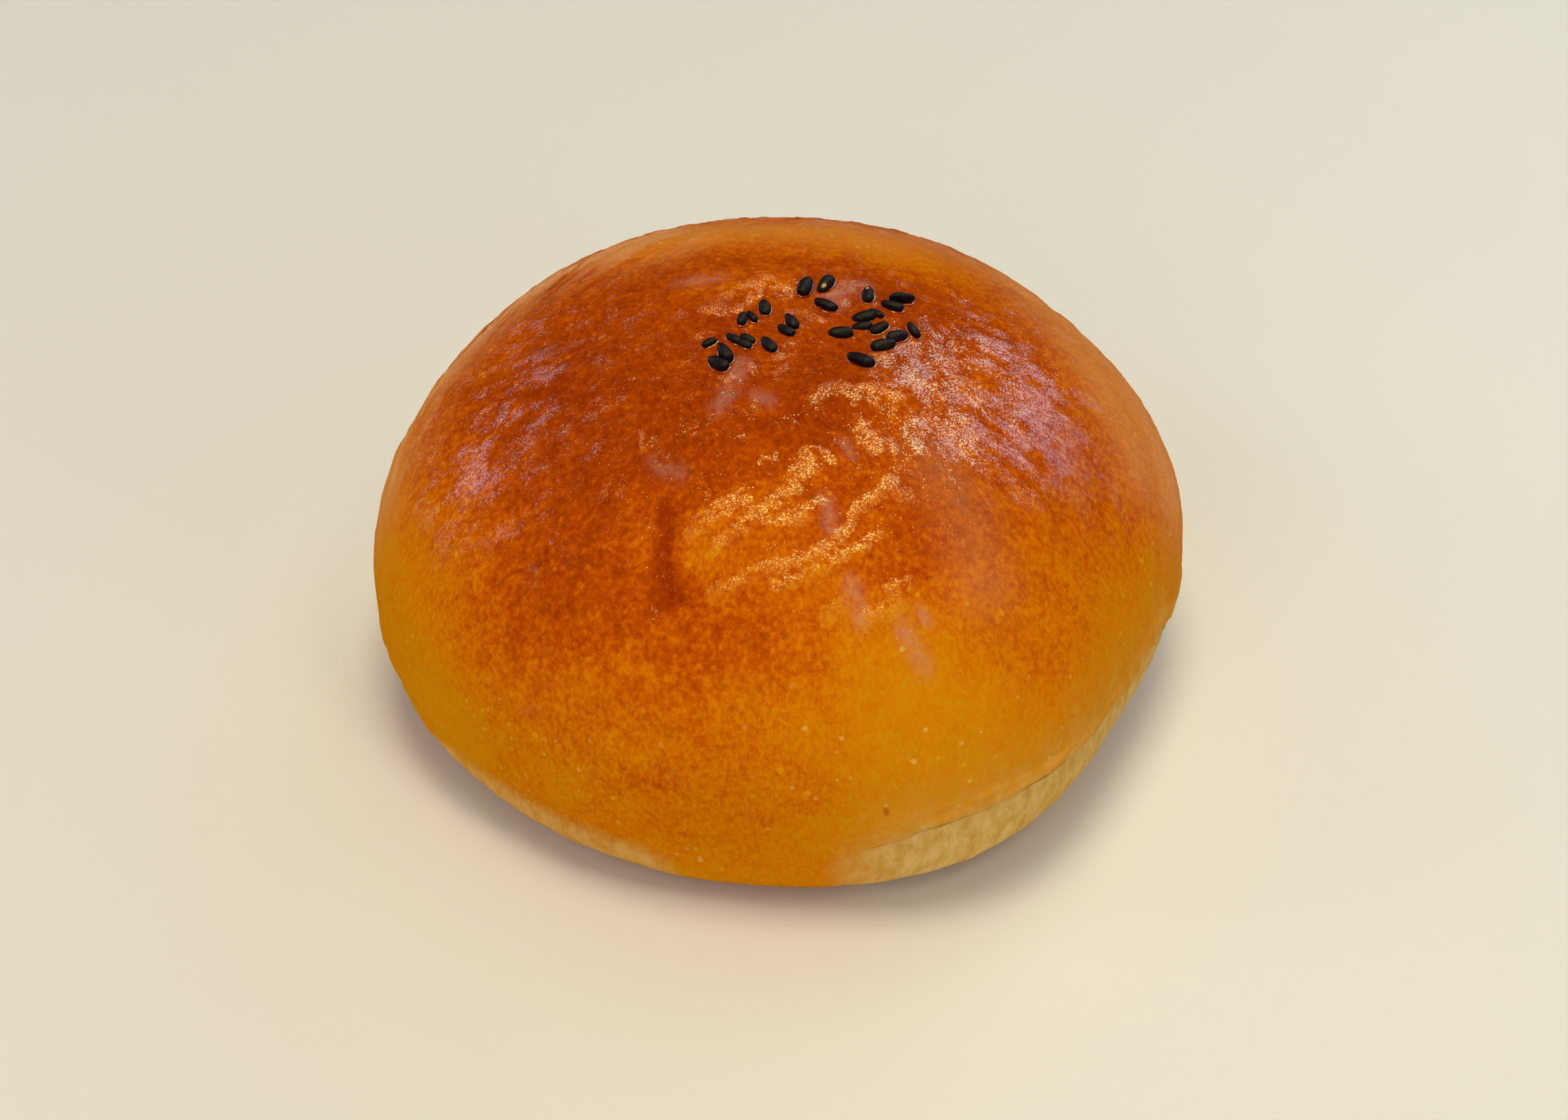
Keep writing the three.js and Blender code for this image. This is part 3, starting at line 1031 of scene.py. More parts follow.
    def sheen(self, points: Array) -> Array:
        """How much of the crust the glaze's film covers: each patch in turn pulls towards its own share.

        Args:
            points: places on the crust.

        Returns:
            0 for none of it to 1 for all of it.
        """
        total = np.full(points.shape[:-1], self.film_share)
        for place, reach, share in self.films:
            near = bell(np.linalg.norm(points - np.array(place), axis=-1) / reach)
            total = total + near * (share - total)
        return np.clip(total, 0.0, 1.0)

    def frost(self, points: Array) -> Array:
        """How much grainy glaze lies at each place: the nearest ridge's bell, a little narrower than it."""
        return np.max([r.closeness(points) ** (1.0 / self.ridge_film**2) for r in self.ridges], axis=0)

    def painted_reflection(self, points: Array) -> Array:
        """How strong the painted reflection is at each place, the window's lavender glint painted into the
        colour: the nearest patch's own share.
        """
        return strongest(self.painted_reflections, points)

    def painted_haze(self, points: Array) -> Array:
        """How strong the painted haze is, the sheen of reflected light painted into the colour: the nearest
        band's share, broken into lines, or the nearest patch's.

        Args:
            points: places on the crust.

        Returns:
            0 for none of it to 1 for the strongest.
        """
        noise, near = self.painted_haze_lines.lines(Grain(Draw.PAINTED_HAZE), self.form, points)
        bare = near * smooth(self.painted_haze_bar - self.painted_haze_contrast * noise)
        return np.maximum(strongest(self.painted_hazes, points) * (1.0 - bare), strongest(self.painted_haze_patches, points))

    def closed(self, points: Array) -> tuple[Array, list[Array]]:
        """Closes the wrapped grid across the foot, by rows that shrink to the middle and a fan of triangles.

        Args:
            points: the grid of the skin's points.

        Returns:
            All the points in one row, and the faces of four corners and of three.
        """
        size = len(points)
        last = size - 1
        along = np.arange(last)
        rim = [along * size, last * size + along, (last - along) * size + last, last - along]
        ring = np.concatenate(rim)
        flat = points.reshape(-1, 3)
        shrink = np.linspace(1.0, 0.0, self.foot_rows + 2)[1:-1]
        inner = flat[ring][None] * on_plane(shrink, shrink)[:, None]
        count = len(ring)
        numbers = np.concatenate([ring, len(flat) + np.arange(len(shrink) * count)])
        foot = numbers[grid_quads(len(shrink) + 1, count, True)]
        inmost = numbers[-count:]
        middle = np.full(count, len(flat) + len(shrink) * count)
        fan = np.stack([inmost, np.roll(inmost, -1), middle], -1)
        everything = np.concatenate([flat, inner.reshape(-1, 3), np.zeros((1, 3))])
        return everything, [np.concatenate([grid_quads(size, size, False), foot]), fan]

    def shell(self) -> Shell:
        """The skin as one closed shell, with the values that its finish follows."""
        angle, level = self.disc()
        even = self.form.surface(angle, level)
        normals = unit(np.cross(*(np.gradient(even, axis=n) for n in (0, 1))))
        over = even[..., 2] - self.form.seam(angle)
        relief = self.fine_relief(even, over, self.form.fold_depth(angle))
        points = even + normals * (relief * smooth((3.0 - level) * self.foot_joint))[..., None]
        everything, faces = self.closed(points)
        under = np.zeros(len(everything) - level.size)
        values = {
            Mask.BROWN: np.concatenate([self.browning(everything[: level.size]), under + self.foot_brown]),
            Mask.PALE: np.concatenate([self.pale(points, angle, over).ravel(), under]),
            Mask.GLAZE: np.zeros(len(everything)),
            Mask.LIE: self.lie(everything),
            Mask.SHEEN: self.sheen(everything),
            Mask.FROST: self.frost(everything),
            Mask.BLOOM: self.painted_reflection(everything),
            Mask.PAINTED_HAZE: self.painted_haze(everything),
        }
        return Shell(everything, faces, {mask.value: value for mask, value in values.items()}).outward()


@dataclass(frozen=True)
class CrustFinish:
    """Egg-washed crust: golden below, deep brown on the crown, mottled, blistered and glossy on top.

    An edge is where a pattern starts to show and where it shows in full, and a pick is an edge over each
    cell's own random value, so that only some cells show. Ends and gains are what a pattern counts for at
    the two ends of a share, and weights what each pattern counts for in a sum. Lifts are the weights of the
    browning, the dots, the blisters and the grainy glaze in the baked colour.
    """

    stops: tuple[tuple[float, Colour], ...] = (
        (0.0, (0.72, 0.32, 0.004)),
        (0.18, (0.74, 0.27, 0.002)),
        (0.34, (0.74, 0.21, 0.001)),
        (0.48, (0.66, 0.142, 0.001)),
        (0.62, (0.54, 0.087, 0.001)),
        (0.78, (0.42, 0.054, 0.001)),
        (1.0, (0.30, 0.029, 0.001)),
    )
    band: Colour = (0.66, 0.37, 0.07)
    band_light: Colour = (0.81, 0.56, 0.20)
    mark: Colour = (0.52, 0.12, 0.006)
    mark_at: tuple[float, float, float] = (11.5, -47.7, 17.5)
    mark_upright: tuple[float, float, float] = (1.8, 1.2, 0.9)
    # Painted reflection: the lavender of the window reflected in the glaze, painted into the colour.
    painted_reflection: Colour = (0.60, 0.32, 0.26)
    # Painted haze: the pale warm sheen of reflected light, painted into the colour.
    painted_haze: Colour = (0.86, 0.42, 0.17)
    fleck: Colour = (0.82, 0.42, 0.006)
    speck: Colour = (0.88, 0.54, 0.14)
    mottle: Cloud = Cloud(0.8, 4.0, 0.65)
    patch: Cloud = Cloud(2.6, 3.0, 0.6)
    streak: Cloud = Cloud(0.55, 4.0, 0.65)
    fibre: Cloud = Cloud(0.4, 3.0, 0.7)
    ragged: Cloud = Cloud(1.3, 6.0, 0.7)
    crowd: Cloud = Cloud(8.0, 2.0)
    dough: Cloud = Cloud(1.8, 5.0, 0.7)
    smudge: Cloud = Cloud(0.5, 2.0)
    film: Cloud = Cloud(3.4, 6.0, 0.68)
    grain: Cloud = Cloud(0.22, 2.0, 0.6)
    flake: Cloud = Cloud(0.55, 4.0, 0.75)
    cluster: Cloud = Cloud(3.2, 2.0)
    wear: Cloud = Cloud(4.0)
    crinkle: Cloud = Cloud(0.38, 5.0, 0.8)
    grit: Cloud = Cloud(0.28, 2.0, 0.6)
    dot_apart: float = 1.05
    blister_apart: float = 3.0
    speck_apart: float = 1.3
    spark_apart: float = 0.5
    deep_edge: Edge = (0.2, 0.6)
    dot_edge: Edge = (0.42, 0.12)
    blister_edge: Edge = (0.12, 0.0)
    blister_pick: Edge = (0.5, 0.6)
    frost_gain: Edge = (-1.9, 4.1)
    frost_edge: Edge = (0.4, 0.8)
    fleck_edge: Edge = (0.02, 0.14)
    crowd_edge: Edge = (0.44, 0.56)
    speck_pick: Edge = (0.45, 0.55)
    speck_edge: Edge = (0.19, 0.10)
    dough_edge: Edge = (0.34, 0.66)
    mark_edge: Edge = (0.65, 0.4)
    painted_reflection_edge: Edge = (0.5, 0.8)
    painted_haze_edge: Edge = (0.45, 0.72)
    cover_edge: Edge = (0.62, 0.70)
    flake_edge: Edge = (0.43, 0.55)
    grain_edge: Edge = (0.50, 0.60)
    pore_edge: Edge = (0.34, 0.18)
    pore_pick: Edge = (0.5, 0.4)
    cluster_edge: Edge = (0.46, 0.6)
    spark_edge: Edge = (0.26, 0.1)
    spark_pick: Edge = (0.5, 0.6)
    mottle_ends: Edge = (0.35, 1.0)
    streak_ends: Edge = (1.0, 0.4)
    fibre_ends: Edge = (1.6, 0.4)
    fleck_ends: Edge = (0.42, 0.084)
    painted_haze_ends: Edge = (0.6, 1.15)
    flake_ends: Edge = (0.12, 1.0)
    grain_ends: Edge = (0.05, 1.0)
    crinkle_ends: Edge = (1.7, 1.0)
    blister_weights: Edge = (2.6, -0.3)
    fleck_weights: Edge = (0.5, 1.2)
    speck_weights: Place = (1.0, 0.3, -0.3)
    painted_reflection_weights: Edge = (1.0, 0.4)
    painted_haze_weights: Edge = (0.6, 0.6)
    cover_weights: Place = (0.6, 0.4, 0.3)
    flake_weights: Edge = (0.55, 0.45)
    # The last lift, of the grainy glaze, is partly its paler glaze and partly the golden glow of the lamps'
    # highlight painted into the colour.
    lifts: Place = (1.0, -0.08, -0.25, -0.12)
    patch_share: float = 0.5
    bake: float = 0.02
    speck_lot: float = 0.7
    blister_share: float = 0.5
    speck_share: float = 0.6
    mark_share: float = 0.75
    mark_waver: float = 1.3
    pore_share: float = 0.85
    glaze_share: float = 0.7
    flake_draw: Place = (1.0, 1.0, 0.6)
    roughness: float = 0.13
    rougher: float = 0.08
    glaze_smoother: float = 0.02
    dull_roughness: float = 0.75
    specular: float = 0.5
    crinkle_depth: float = 0.05
    grit_depth: float = 0.02
    blister_depth: float = 0.04

    def material(self, shift: Array) -> bpy.types.Material:
        """Builds the material for the crust and the glaze, which were moved by this shift in millimetres."""
        return CrustNodes(self).built(shift)


class CrustNodes(Nodes):
    """The nodes of the crust's material, with the patterns that its colour, gloss and bumps follow."""

    def __init__(self, look: CrustFinish) -> None:
        """Makes the shared patterns.

        Args:
            look: the finish that gives the colours, sizes, edges and weights.
        """
        super().__init__("glazed_crust")
        self.look = look
        self.here = self.place()
        self.lie = self.attribute(Mask.LIE.value, "Vector")
        self.brown = self.attribute(Mask.BROWN.value)
        self.deep = self.eased(self.brown, look.deep_edge)
        self.pale = self.attribute(Mask.PALE.value)
        self.glaze = self.attribute(Mask.GLAZE.value)
        self.mottle = self.swing(self.here, look.mottle)
        self.ragged = self.noise(self.here, look.ragged)
        self.grains = self.noise(self.here, look.grain)
        blistered, chance = self.cells(self.here, look.blister_apart)
        blistered = self.eased(self.weighed((blistered, chance), look.blister_weights), look.blister_edge)
        self.blisters = blistered * self.eased(chance, look.blister_pick)
        frosted = self.attribute(Mask.FROST.value) * self.between(self.ragged, look.frost_gain)
        self.frost = self.eased(frosted, look.frost_edge)

    def baked(self) -> Link:
        """The browned crust's colour, mottled and dotted, and flecked with paler skin."""
        look, light = self.look, 1.0 - self.deep
        streaks, fibres = self.swing(self.lie, look.streak), self.swing(self.lie, look.fibre)
        mottled = self.mottle + self.swing(self.here, look.patch) * look.patch_share
        parts = ((mottled, look.mottle_ends), (streaks, look.streak_ends), (fibres, look.fibre_ends))
        mottled, streaked, fibrous = (part * self.between(self.deep, ends) for part, ends in parts)
        dots = self.eased(self.cells(self.lie, look.dot_apart)[0], look.dot_edge)
        mottled = mottled + streaked + fibrous + look.bake
        # Partly painted highlight: the grainy glaze lifts the colour, partly as its own paler glaze and
        # partly as the glow of the lamps' highlight.
        lifted = self.weighed((self.brown + mottled, dots, self.blisters, self.frost), look.lifts)
        colour = self.ramp(lifted, list(look.stops))
        flecks = self.eased(self.weighed((streaks, fibres), look.fleck_weights), look.fleck_edge)
        flecks = flecks * self.between(self.deep, look.fleck_ends)
        colour = self.blend(colour, look.fleck, flecks + self.blisters * light * look.blister_share)
        apart, lot = self.cells(self.here, look.speck_apart)
        specks = self.weighed((apart, self.mottle, lot - look.speck_lot), look.speck_weights)
        specks = self.eased(specks, look.speck_edge) * self.eased(lot, look.speck_pick)
        specks = specks * self.eased(self.noise(self.here, look.crowd), look.crowd_edge)
        return self.blend(colour, look.speck, specks * light * look.speck_share)

    def colour(self, shift: Array) -> Link:
        """The baked crust with the pale dough and the brown mark, with the painted reflection and the painted
        haze over it.

        Args:
            shift: how far the crust was moved to centre it, in millimetres.

        Returns:
            The colour.
        """
        look = self.look
        dough = self.eased(self.noise(self.lie, look.dough), look.dough_edge)
        colour = self.blend(self.baked(), self.blend(look.band, look.band_light, dough), self.pale)
        spot = tuple(float(v) for v in np.array(look.mark_at) - shift)
        away = self.vector("MULTIPLY", self.vector("SUBTRACT", self.here, spot), look.mark_upright)
        gap = self.vector("LENGTH", away, (0.0, 0.0, 0.0), "Value")
        gap = gap + self.swing(self.here, look.smudge) * look.mark_waver
        colour = self.blend(colour, look.mark, self.eased(gap, look.mark_edge) * look.mark_share)
        # Painted reflection: the window's lavender glints painted over the colour, broken by ragged noise.
        painted_reflection = self.eased(self.weighed((self.ragged, self.grains), look.painted_reflection_weights), look.painted_reflection_edge)
        colour = self.blend(colour, look.painted_reflection, self.attribute(Mask.BLOOM.value) * painted_reflection)
        # Painted haze: the sheen of reflected light near the rim, painted over the colour and broken by
        # grain.
        painted_haze_share = self.eased(self.weighed((self.grains, self.ragged), look.painted_haze_weights), look.painted_haze_edge)
        painted_haze_share = self.attribute(Mask.PAINTED_HAZE.value) * self.between(painted_haze_share, look.painted_haze_ends)
        return self.blend(colour, look.painted_haze, painted_haze_share)

    def gloss(self) -> Link:
        """The glossy share: the film with its flakes and pores, the grainy ridges, sparks and glaze."""
        look = self.look
        film, sheen = self.noise(self.lie, look.film), self.attribute(Mask.SHEEN.value)
        cover = self.eased(self.weighed((film, self.grains, sheen), look.cover_weights), look.cover_edge)
        flakes = self.noise(self.vector("MULTIPLY", self.lie, look.flake_draw), look.flake)
        flakes = self.eased(self.weighed((flakes, self.grains), look.flake_weights), look.flake_edge)
        spacing, pick = self.cells(self.here, look.spark_apart)
        pores = self.eased(spacing, look.pore_edge) * self.eased(pick, look.pore_pick)
        cover = cover * self.between(flakes, look.flake_ends) * (1.0 - pores * look.pore_share)
        clustered = self.eased(self.noise(self.here, look.cluster), look.cluster_edge)
        sparks = self.eased(spacing, look.spark_edge) * self.eased(pick, look.spark_pick) * clustered
        grainy = self.frost * self.between(self.eased(self.grains, look.grain_edge), look.grain_ends)
        coat = cover * (1.0 - self.frost) + grainy + sparks * (1.0 - cover)
        coat = coat * (1.0 - self.glaze) + self.glaze * look.glaze_share
        return self.deep * (1.0 - self.pale) * coat

    def bent(self) -> Link:
        """The normal, bent by the skin's crinkle, its grit and its blisters."""
        look, bare = self.look, 1.0 - self.glaze
        crinkle = self.noise(self.lie, look.crinkle) * bare * self.between(self.deep, look.crinkle_ends)
        bent = self.bump(crinkle, look.crinkle_depth)
        bent = self.bump(self.noise(self.here, look.grit) * bare, look.grit_depth, bent)
        return self.bump(self.blisters, look.blister_depth, bent)

    def built(self, shift: Array) -> bpy.types.Material:
        """Ends the material: a dull and a glossy shader of one colour, mixed by the glossy share.

        Args:
            shift: how far the crust was moved to centre it, in millimetres.

        Returns:
            The material.
        """
        look = self.look
        shared = {"Base Color": self.colour(shift), "Normal": self.bent()}
        rough = look.roughness + (self.noise(self.here, look.wear) + self.frost) * look.rougher
        rough = rough - self.glaze * look.glaze_smoother
        glossy = self.shader({**shared, "Roughness": rough, "Specular IOR Level": look.specular})
        dull = self.shader({**shared, "Roughness": look.dull_roughness, "Specular IOR Level": 0.0})
        sides = {0: self.gloss(), 1: dull, 2: glossy}
        return self.finish(self.link(self.node("ShaderNodeMixShader", {}, sides)))


# ---- The seeds ----


@dataclass(frozen=True)
class SeedPlace:
    """Where a seed lies: right and back of the middle, the angle of its tip, its roll, size and scar."""

    across: float
    back: float
    heading: float
    roll: float
    size: float
    scar: bool = False


@dataclass
class Seeds:
    """The black sesame seeds and the rims of glaze that hold them."""

    form: Form
    length: float = 3.1
    width: float = 1.9
    thickness: float = 1.3
    taper: float = 0.28
    sunk: float = 0.2
    around: int = 28
    along: int = 22
    bluntness: float = 0.78
    keel: float = 0.05
    lump: float = 0.05
    lump_size: float = 0.9
    scar_at: Place = (0.75, 0.1, 0.4)
    scar_reach: Place = (0.42, 0.3, 0.35)
    stand_step: float = 0.5
    rim_sides: int = 12
    rim_out: float = 0.20
    rim_up: float = 0.15
    rim_hug: float = 0.93
    rim_waver: float = 0.45
    rim_waves: float = 1.5
    rim_lean: float = 0.15
    rim_sink: float = 0.35
    rim_brown: float = 0.95
    places: tuple[SeedPlace, ...] = (
        SeedPlace(2.9, 3.8, 72, 8, 0.98),
        SeedPlace(5.25, 4.2, -120, -8, 0.93, scar=True),
        SeedPlace(5.3, 0.7, 146, 25, 0.97),
        SeedPlace(10.05, 2.45, 88, 0, 0.84, scar=True),
        SeedPlace(13.8, 2.2, 22, -44, 1.05),
        SeedPlace(12.7, 0.5, 160, 15, 0.88),
        SeedPlace(-1.8, -0.15, 98, 0, 0.82),
        SeedPlace(-4.3, -2.55, 78, 20, 0.7),
        SeedPlace(-3.2, -1.95, 120, 20, 0.62),
        SeedPlace(1.35, -2.75, 112, 20, 0.86),
        SeedPlace(0.7, -4.35, 138, 10, 0.79),
        SeedPlace(-7.9, -6.55, 25, 25, 0.6),
        SeedPlace(-5.25, -6.15, 140, 10, 0.7),
        SeedPlace(-3.7, -6.1, -30, 15, 0.66),
        SeedPlace(-4.1, -7.05, 148, -10, 0.66),
        SeedPlace(-1.3, -7.0, 118, 0, 0.88),
        SeedPlace(-6.1, -9.1, 108, 42, 1.08),
        SeedPlace(-6.8, -10.6, 136, -8, 0.96),
        SeedPlace(6.9, -4.4, 187, -12, 0.93),
        SeedPlace(9.4, -3.0, 186, 5, 0.76),
        SeedPlace(9.65, -1.35, 194, 0, 0.92),
        SeedPlace(11.0, -0.85, 138, 30, 0.68),
        SeedPlace(11.3, -3.5, 36, 10, 0.78),
        SeedPlace(11.6, -6.75, 18, 15, 0.95),
        SeedPlace(13.1, -5.0, 26, 15, 0.87),
        SeedPlace(14.95, -3.3, 120, 25, 0.8),
        SeedPlace(9.1, -9.5, 144, 25, 1.15),
    )

    def stand(self, place: SeedPlace) -> tuple[Array, Array]:
        """Where a seed stands on the crown.

        Args:
            place: the seed's place.

        Returns:
            The skin's point, and the seed's length, side and upward directions as rows.
        """
        point = self.form.crown_points(np.array(place.across), np.array(place.back))
        steps = self.stand_step * np.array([[1, -1, 0, 0], [0, 0, 1, -1]])
        right, left, back, front = self.form.crown_points(place.across + steps[0], place.back + steps[1])
        normal = unit(np.cross(right - left, back - front))
        way = math.radians(place.heading)
        side = unit(np.cross(normal, [math.cos(way), math.sin(way), 0.0]))
        return point, np.stack([np.cross(side, normal), side, normal])

    def pip(self, place: SeedPlace, number: int) -> Shell:
        """One seed: an ellipsoid that narrows towards its tip, slightly uneven, with a keel along its edge.

        Args:
            place: where it lies.
            number: its number, which picks its unevenness.

        Returns:
            The closed shell.
        """
        turn = np.linspace(0.0, math.tau, self.around, endpoint=False)[None, :]
        fall = np.linspace(0.0, math.pi, self.along + 2)[1:-1, None]
        along = -0.5 * np.cos(fall) * np.ones_like(turn)
        girth = 0.5 * np.sin(fall) ** self.bluntness * (1.0 - self.taper * (along + 0.5))
        keel = 1.0 + self.keel * np.cos(2.0 * turn)
        body = np.stack([along, girth * np.cos(turn) * keel, girth * np.sin(turn)], -1).reshape(-1, 3)
        body = np.concatenate([body, [[-0.5, 0.0, 0.0], [0.5, 0.0, 0.0]]])
        body = body * [self.length, self.width, self.thickness]
        uneven = Grain(Draw.PIP + number)
        body = body * (1.0 + self.lump * uneven.layered(body / self.lump_size, 2))[:, None]
        scar = bell(np.linalg.norm((body - self.scar_at) / np.array(self.scar_reach), axis=-1)) * place.scar
        point, axes = self.stand(place)
        roll = math.radians(place.roll)
        flat, on_edge = math.cos(roll), math.sin(roll)
        side = flat * axes[1] + on_edge * axes[2]
        up = flat * axes[2] - on_edge * axes[1]
        stands = place.size * math.hypot(flat * self.thickness, on_edge * self.width)
        centre = point + axes[2] * stands * (0.5 - self.sunk)
        points = centre + place.size * (body @ np.stack([axes[0], side, up]))
        rows = grid_quads(self.along, self.around, True)
        count = self.along * self.around
        first, last = np.arange(self.around), count - self.around + np.arange(self.around)
        tips = [np.stack([np.roll(first, -1), first, np.full(self.around, count)], -1)]
        tips += [np.stack([last, np.roll(last, -1), np.full(self.around, count + 1)], -1)]
        return Shell(points, [rows, np.concatenate(tips)], {SCAR: scar}).outward()

    def rim(self, place: SeedPlace, number: int) -> Shell:
        """The glaze that climbs round a seed: a low closed ring whose width wavers.

        Args:
            place: where the seed lies.
            number: its number, which picks the wavering.

        Returns:
            The closed shell.
        """
        turn = np.linspace(0.0, math.tau, 2 * self.around, endpoint=False)[:, None]
        round_section = np.linspace(0.0, math.tau, self.rim_sides, endpoint=False)[None, :]
        roll = math.radians(place.roll)
        broad = math.hypot(self.width * math.cos(roll), self.thickness * math.sin(roll))
        along, across = np.cos(turn), np.sin(turn)
        narrow = 1.0 - self.taper * (along + 1.0) / 2.0
        footing = self.rim_hug * place.size
        waves = on_plane(self.rim_waves * along, self.rim_waves * across)
        spread = 1.0 + self.rim_waver * Grain(Draw.RIM + number).at(waves)
        out = self.rim_out * spread * (self.rim_lean + np.cos(round_section))
        rise = self.rim_up * spread * (np.sin(round_section) - self.rim_sink)
        way = unit(np.stack([along * broad, across * narrow * self.length], -1))
        x = footing * self.length / 2.0 * along + out * way[..., 0]
        y = footing * broad / 2.0 * across * narrow + out * way[..., 1]
        point, axes = self.stand(place)
        flat = point + x[..., None] * axes[0] + y[..., None] * axes[1]
        skin = self.form.crown_points(flat[..., 0], flat[..., 1])
        points = skin + rise[..., None] * axes[2]
        rows, columns = points.shape[:2]
        column = np.arange(columns)
        beside, start = (column + 1) % columns, (rows - 1) * columns
        closing = np.stack([start + column, start + beside, beside, column], -1)
        faces = np.concatenate([grid_quads(rows, columns, True), closing])
        flat_points = points.reshape(-1, 3)
        full = np.ones(len(flat_points))
        values = {mask: 0.0 * full for mask in Mask}
        values.update({Mask.BROWN: self.rim_brown * full, Mask.GLAZE: full, Mask.SHEEN: full})
        values[Mask.LIE] = flat_points
        return Shell(flat_points, [faces], {mask.value: value for mask, value in values.items()}).outward()


@dataclass(frozen=True)
class SeedFinish:
    """The dull black coat of a sesame seed, faintly brown where worn, with a tan scar where it broke off."""

    coat: Colour = (0.009, 0.005, 0.009)
    worn: Colour = (0.035, 0.02, 0.012)
    scar: Colour = (0.55, 0.33, 0.14)
    pits: Cloud = Cloud(0.28, 3.0, 0.6)
    waves: Cloud = Cloud(0.9, 2.0)
    worn_edge: Edge = (0.78, 1.05)
    scar_edge: Edge = (0.42, 0.58)
    wave_share: float = 0.5
    scar_waver: float = 0.5
    pit_depth: float = 0.05
    wave_depth: float = 0.08
    roughness: Edge = (0.36, 0.52)
    specular: float = 0.025

    def material(self) -> bpy.types.Material:
        """Builds the material."""
        nodes = Nodes("black_sesame")
        place = nodes.place()
        pits, waves = nodes.noise(place, self.pits), nodes.noise(place, self.waves)
        worn = nodes.eased(pits + waves * self.wave_share, self.worn_edge)
        colour = nodes.blend(self.coat, self.worn, worn)
        scar = nodes.attribute(SCAR) + (pits - 0.5) * self.scar_waver
        colour = nodes.blend(colour, self.scar, nodes.eased(scar, self.scar_edge))
        bent = nodes.bump(pits, self.pit_depth, nodes.bump(waves, self.wave_depth))
        inputs = {"Base Color": colour, "Normal": bent, "Specular IOR Level": self.specular}
        return nodes.finish(nodes.shader({**inputs, "Roughness": nodes.between(waves, self.roughness)}))


# ---- The bun ----


@dataclass
class Bun:
    """The whole bun: its crust, its seeds and the glaze round them, centred as the CAD solid is."""

    form: Form = field(default_factory=Form)
    crust_finish: CrustFinish = field(default_factory=CrustFinish)
    seed_finish: SeedFinish = field(default_factory=SeedFinish)
    shift: Array = field(default_factory=lambda: np.zeros(3))

    def build(self) -> None:
        """Makes each piece, dresses it and ties it to the CAD."""
        crust = Crust(self.form).shell()
        self.shift = (crust.points.min(0) + crust.points.max(0)) / 2 * [1.0, 1.0, 0.0]
        seeds = Seeds(self.form)
        pips = Shell.joined([seeds.pip(p, n) for n, p in enumerate(seeds.places)])
        rims = Shell.joined([seeds.rim(p, n) for n, p in enumerate(seeds.places)])
        glazed = self.crust_finish.material(self.shift)
        pieces = {
            "crust": (crust, glazed),
            "glaze_rims": (rims, glazed),
            "sesame_seeds": (pips, self.seed_finish.material()),
        }
        for name, (shell, material) in pieces.items():
            shell.points = shell.points - self.shift
            made = shell.piece(name, material)
            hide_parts(BUN_NODE)
            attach(made, ROOT_BODY)
            log.info("%s: %d points, moved by %s mm", name, len(shell.points), np.round(self.shift, 3))


# ---- Floor, lights and camera ----


class Use(Enum):
    """What a lamp is for: the light and shade on things, or the glints in their gloss."""

    SHADE = "shade"
    GLINT = "glint"


@dataclass(frozen=True)
class Softbox:
    """An oblong lamp that faces the bun: its place, width and height in metres, power, colour and use."""

    name: str
    place: tuple[float, float, float]
    size: tuple[float, float]
    watts: float
    colour: Colour
    use: Use
    target: tuple[float, float, float] = (0.0, 0.0, 0.03)

    def build(self) -> None:
        """Hangs the lamp."""
        lamp = bpy.data.lights.new(self.name, "AREA")
        lamp.shape = "RECTANGLE"
        lamp.size, lamp.size_y = self.size
        lamp.energy = self.watts
        lamp.color = self.colour
        made = bpy.data.objects.new(self.name, lamp)
        made.location = self.place
        way = Vector(self.target) - Vector(self.place)
        made.rotation_euler = way.to_track_quat("-Z", "Y").to_euler()
        made.visible_glossy = self.use is Use.GLINT
        made.visible_diffuse = self.use is Use.SHADE
        bpy.context.scene.collection.objects.link(made)


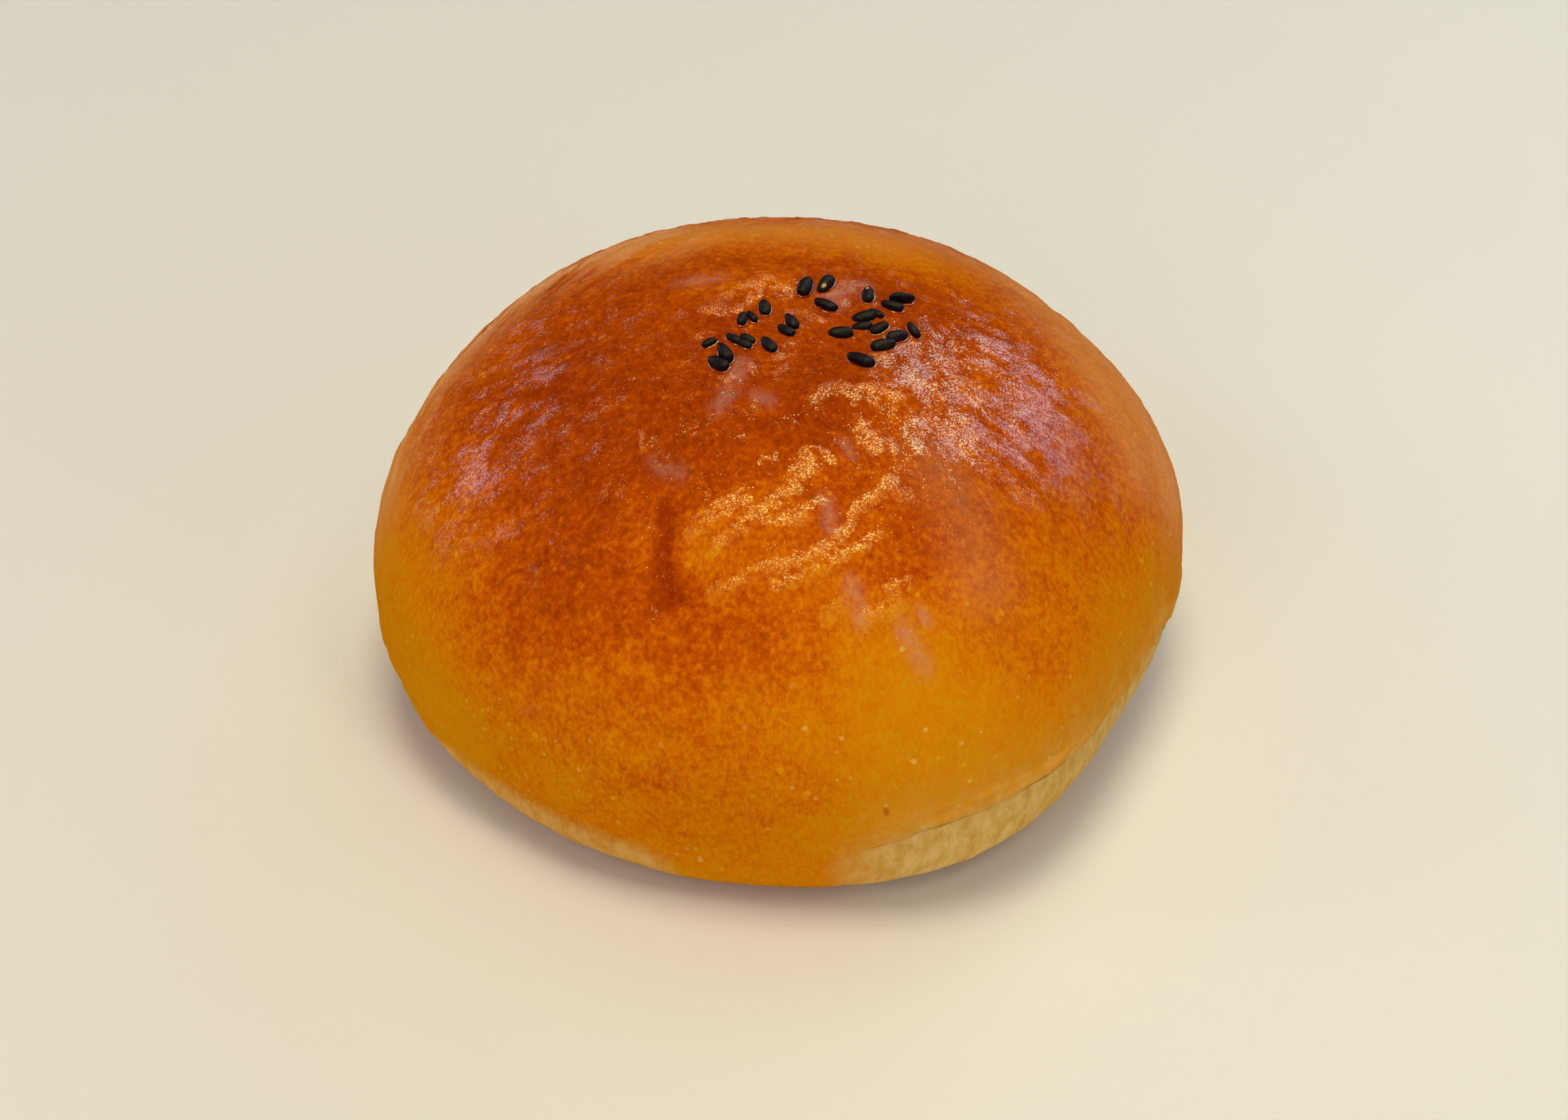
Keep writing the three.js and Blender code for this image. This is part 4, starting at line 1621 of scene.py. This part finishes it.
@dataclass
class Studio:
    """A plain pale floor, soft lamps round the bun, and the camera."""

    floor_reach: float = 3.0
    floor_colour: Colour = (0.80, 0.82, 0.90)
    floor_roughness: float = 0.7
    world_colour: Colour = WARM_COLOUR
    world_strength: float = 0.17
    lamps: tuple[Softbox, ...] = (
        Softbox("key_middle", (-0.02, -0.14, 1.12), (0.40, 0.40), 5.4, KEY_COLOUR, Use.SHADE),
        Softbox("key_front", (0.40, -0.48, 0.94), (0.20, 0.20), 1.0, KEY_COLOUR, Use.SHADE),
        Softbox("key_right", (0.65, 0.78, 0.62), (0.55, 0.55), 0.55, (0.86, 0.90, 1.0), Use.SHADE),
        Softbox("front_fill", (-0.55, -1.2, 0.75), (1.0, 1.0), 4.3, (1.0, 0.95, 0.88), Use.SHADE),
        Softbox("side_fill", (0.80, -0.90, 0.45), (0.40, 0.40), 1.3, WARM_COLOUR, Use.SHADE),
        Softbox("right_fill", (1.10, -0.30, 0.45), (0.40, 0.40), 0.6, WARM_COLOUR, Use.SHADE),
        Softbox("left_fill", (-1.05, -0.05, 0.60), (0.40, 0.40), 1.2, WARM_COLOUR, Use.SHADE),
        Softbox("ceiling", (0.05, 0.10, 1.15), (0.50, 1.25), 52.0, GLINT_COLOUR, Use.GLINT),
        Softbox("lamp_back", (0.31, 0.32, 1.06), (0.11, 0.11), 1.5, GLINT_COLOUR, Use.GLINT),
        Softbox("lamp_front", (0.40, -0.48, 0.94), (0.16, 0.16), 2.9, GLINT_COLOUR, Use.GLINT),
        Softbox("window_right", (0.66, 0.73, 0.70), (0.96, 0.70), 18.5, WINDOW_COLOUR, Use.GLINT),
        Softbox("window_left", (-0.93, 0.65, 0.40), (1.10, 0.56), 12.0, WINDOW_COLOUR, Use.GLINT),
    )
    elevation: float = 38.0
    distance: float = 412.6
    aim: tuple[float, float, float] = (0.0, 0.0, 19.2)
    aim_pixel: tuple[float, float] = (1131.5, 769.5)
    focal_pixels: float = 5000.0
    sensor: float = 36.0
    nearest: float = 0.01

    def floor(self) -> None:
        """Lays the floor under the bun's foot."""
        reach = self.floor_reach
        mesh = bpy.data.meshes.new("floor")
        corners = [(-reach, -reach, 0), (reach, -reach, 0), (reach, reach, 0), (-reach, reach, 0)]
        mesh.from_pydata(corners, [], [(0, 1, 2, 3)])
        nodes = Nodes("pale_floor")
        pale = nodes.shader({"Base Color": (*self.floor_colour, 1.0), "Roughness": self.floor_roughness})
        mesh.materials.append(nodes.finish(pale))
        made = bpy.data.objects.new("floor", mesh)
        bpy.context.scene.collection.objects.link(made)

    def light(self) -> None:
        """Hangs the lamps and sets the dim light of the room."""
        for lamp in self.lamps:
            lamp.build()
        world = bpy.data.worlds.new("room")
        world.use_nodes = True
        back = world.node_tree.nodes["Background"]
        back.inputs["Color"].default_value = (*self.world_colour, 1.0)
        back.inputs["Strength"].default_value = self.world_strength
        world.cycles_visibility.glossy = False
        scene = bpy.context.scene
        scene.world = world
        scene.view_settings.view_transform = "Standard"
        scene.view_settings.look = "None"

    def camera(self, shift: Array) -> None:
        """Sets the camera so that the aim point falls on its pixel, with lengths in millimetres.

        Args:
            shift: how far the bun was moved to centre it, in millimetres.
        """
        tilt = math.radians(self.elevation)
        ahead = Vector((0.0, math.cos(tilt), -math.sin(tilt)))
        up = Vector((0.0, math.sin(tilt), math.cos(tilt)))
        right = Vector((1.0, 0.0, 0.0))
        aim = Vector(self.aim) - Vector(shift)
        place = aim - ahead * self.distance
        per_pixel = self.distance / self.focal_pixels
        right_of = (FRAME_WIDTH / 2 - self.aim_pixel[0]) * per_pixel
        below = (FRAME_HEIGHT / 2 - self.aim_pixel[1]) * per_pixel
        look = aim + right * right_of - up * below
        data = bpy.data.cameras.new("camera")
        data.sensor_width = self.sensor
        data.lens = self.focal_pixels / FRAME_WIDTH * self.sensor
        data.clip_start = self.nearest
        made = bpy.data.objects.new("camera", data)
        made.location = place * MM
        made.rotation_euler = (look - place).to_track_quat("-Z", "Y").to_euler()
        bpy.context.scene.collection.objects.link(made)
        bpy.context.scene.camera = made


def main() -> None:
    """Builds the bun and the studio round it."""
    logging.basicConfig(level=logging.INFO, format="%(name)s: %(message)s")
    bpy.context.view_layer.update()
    bun = Bun()
    bun.build()
    studio = Studio()
    studio.floor()
    studio.light()
    studio.camera(bun.shift)


if __name__ == "__main__":
    main()
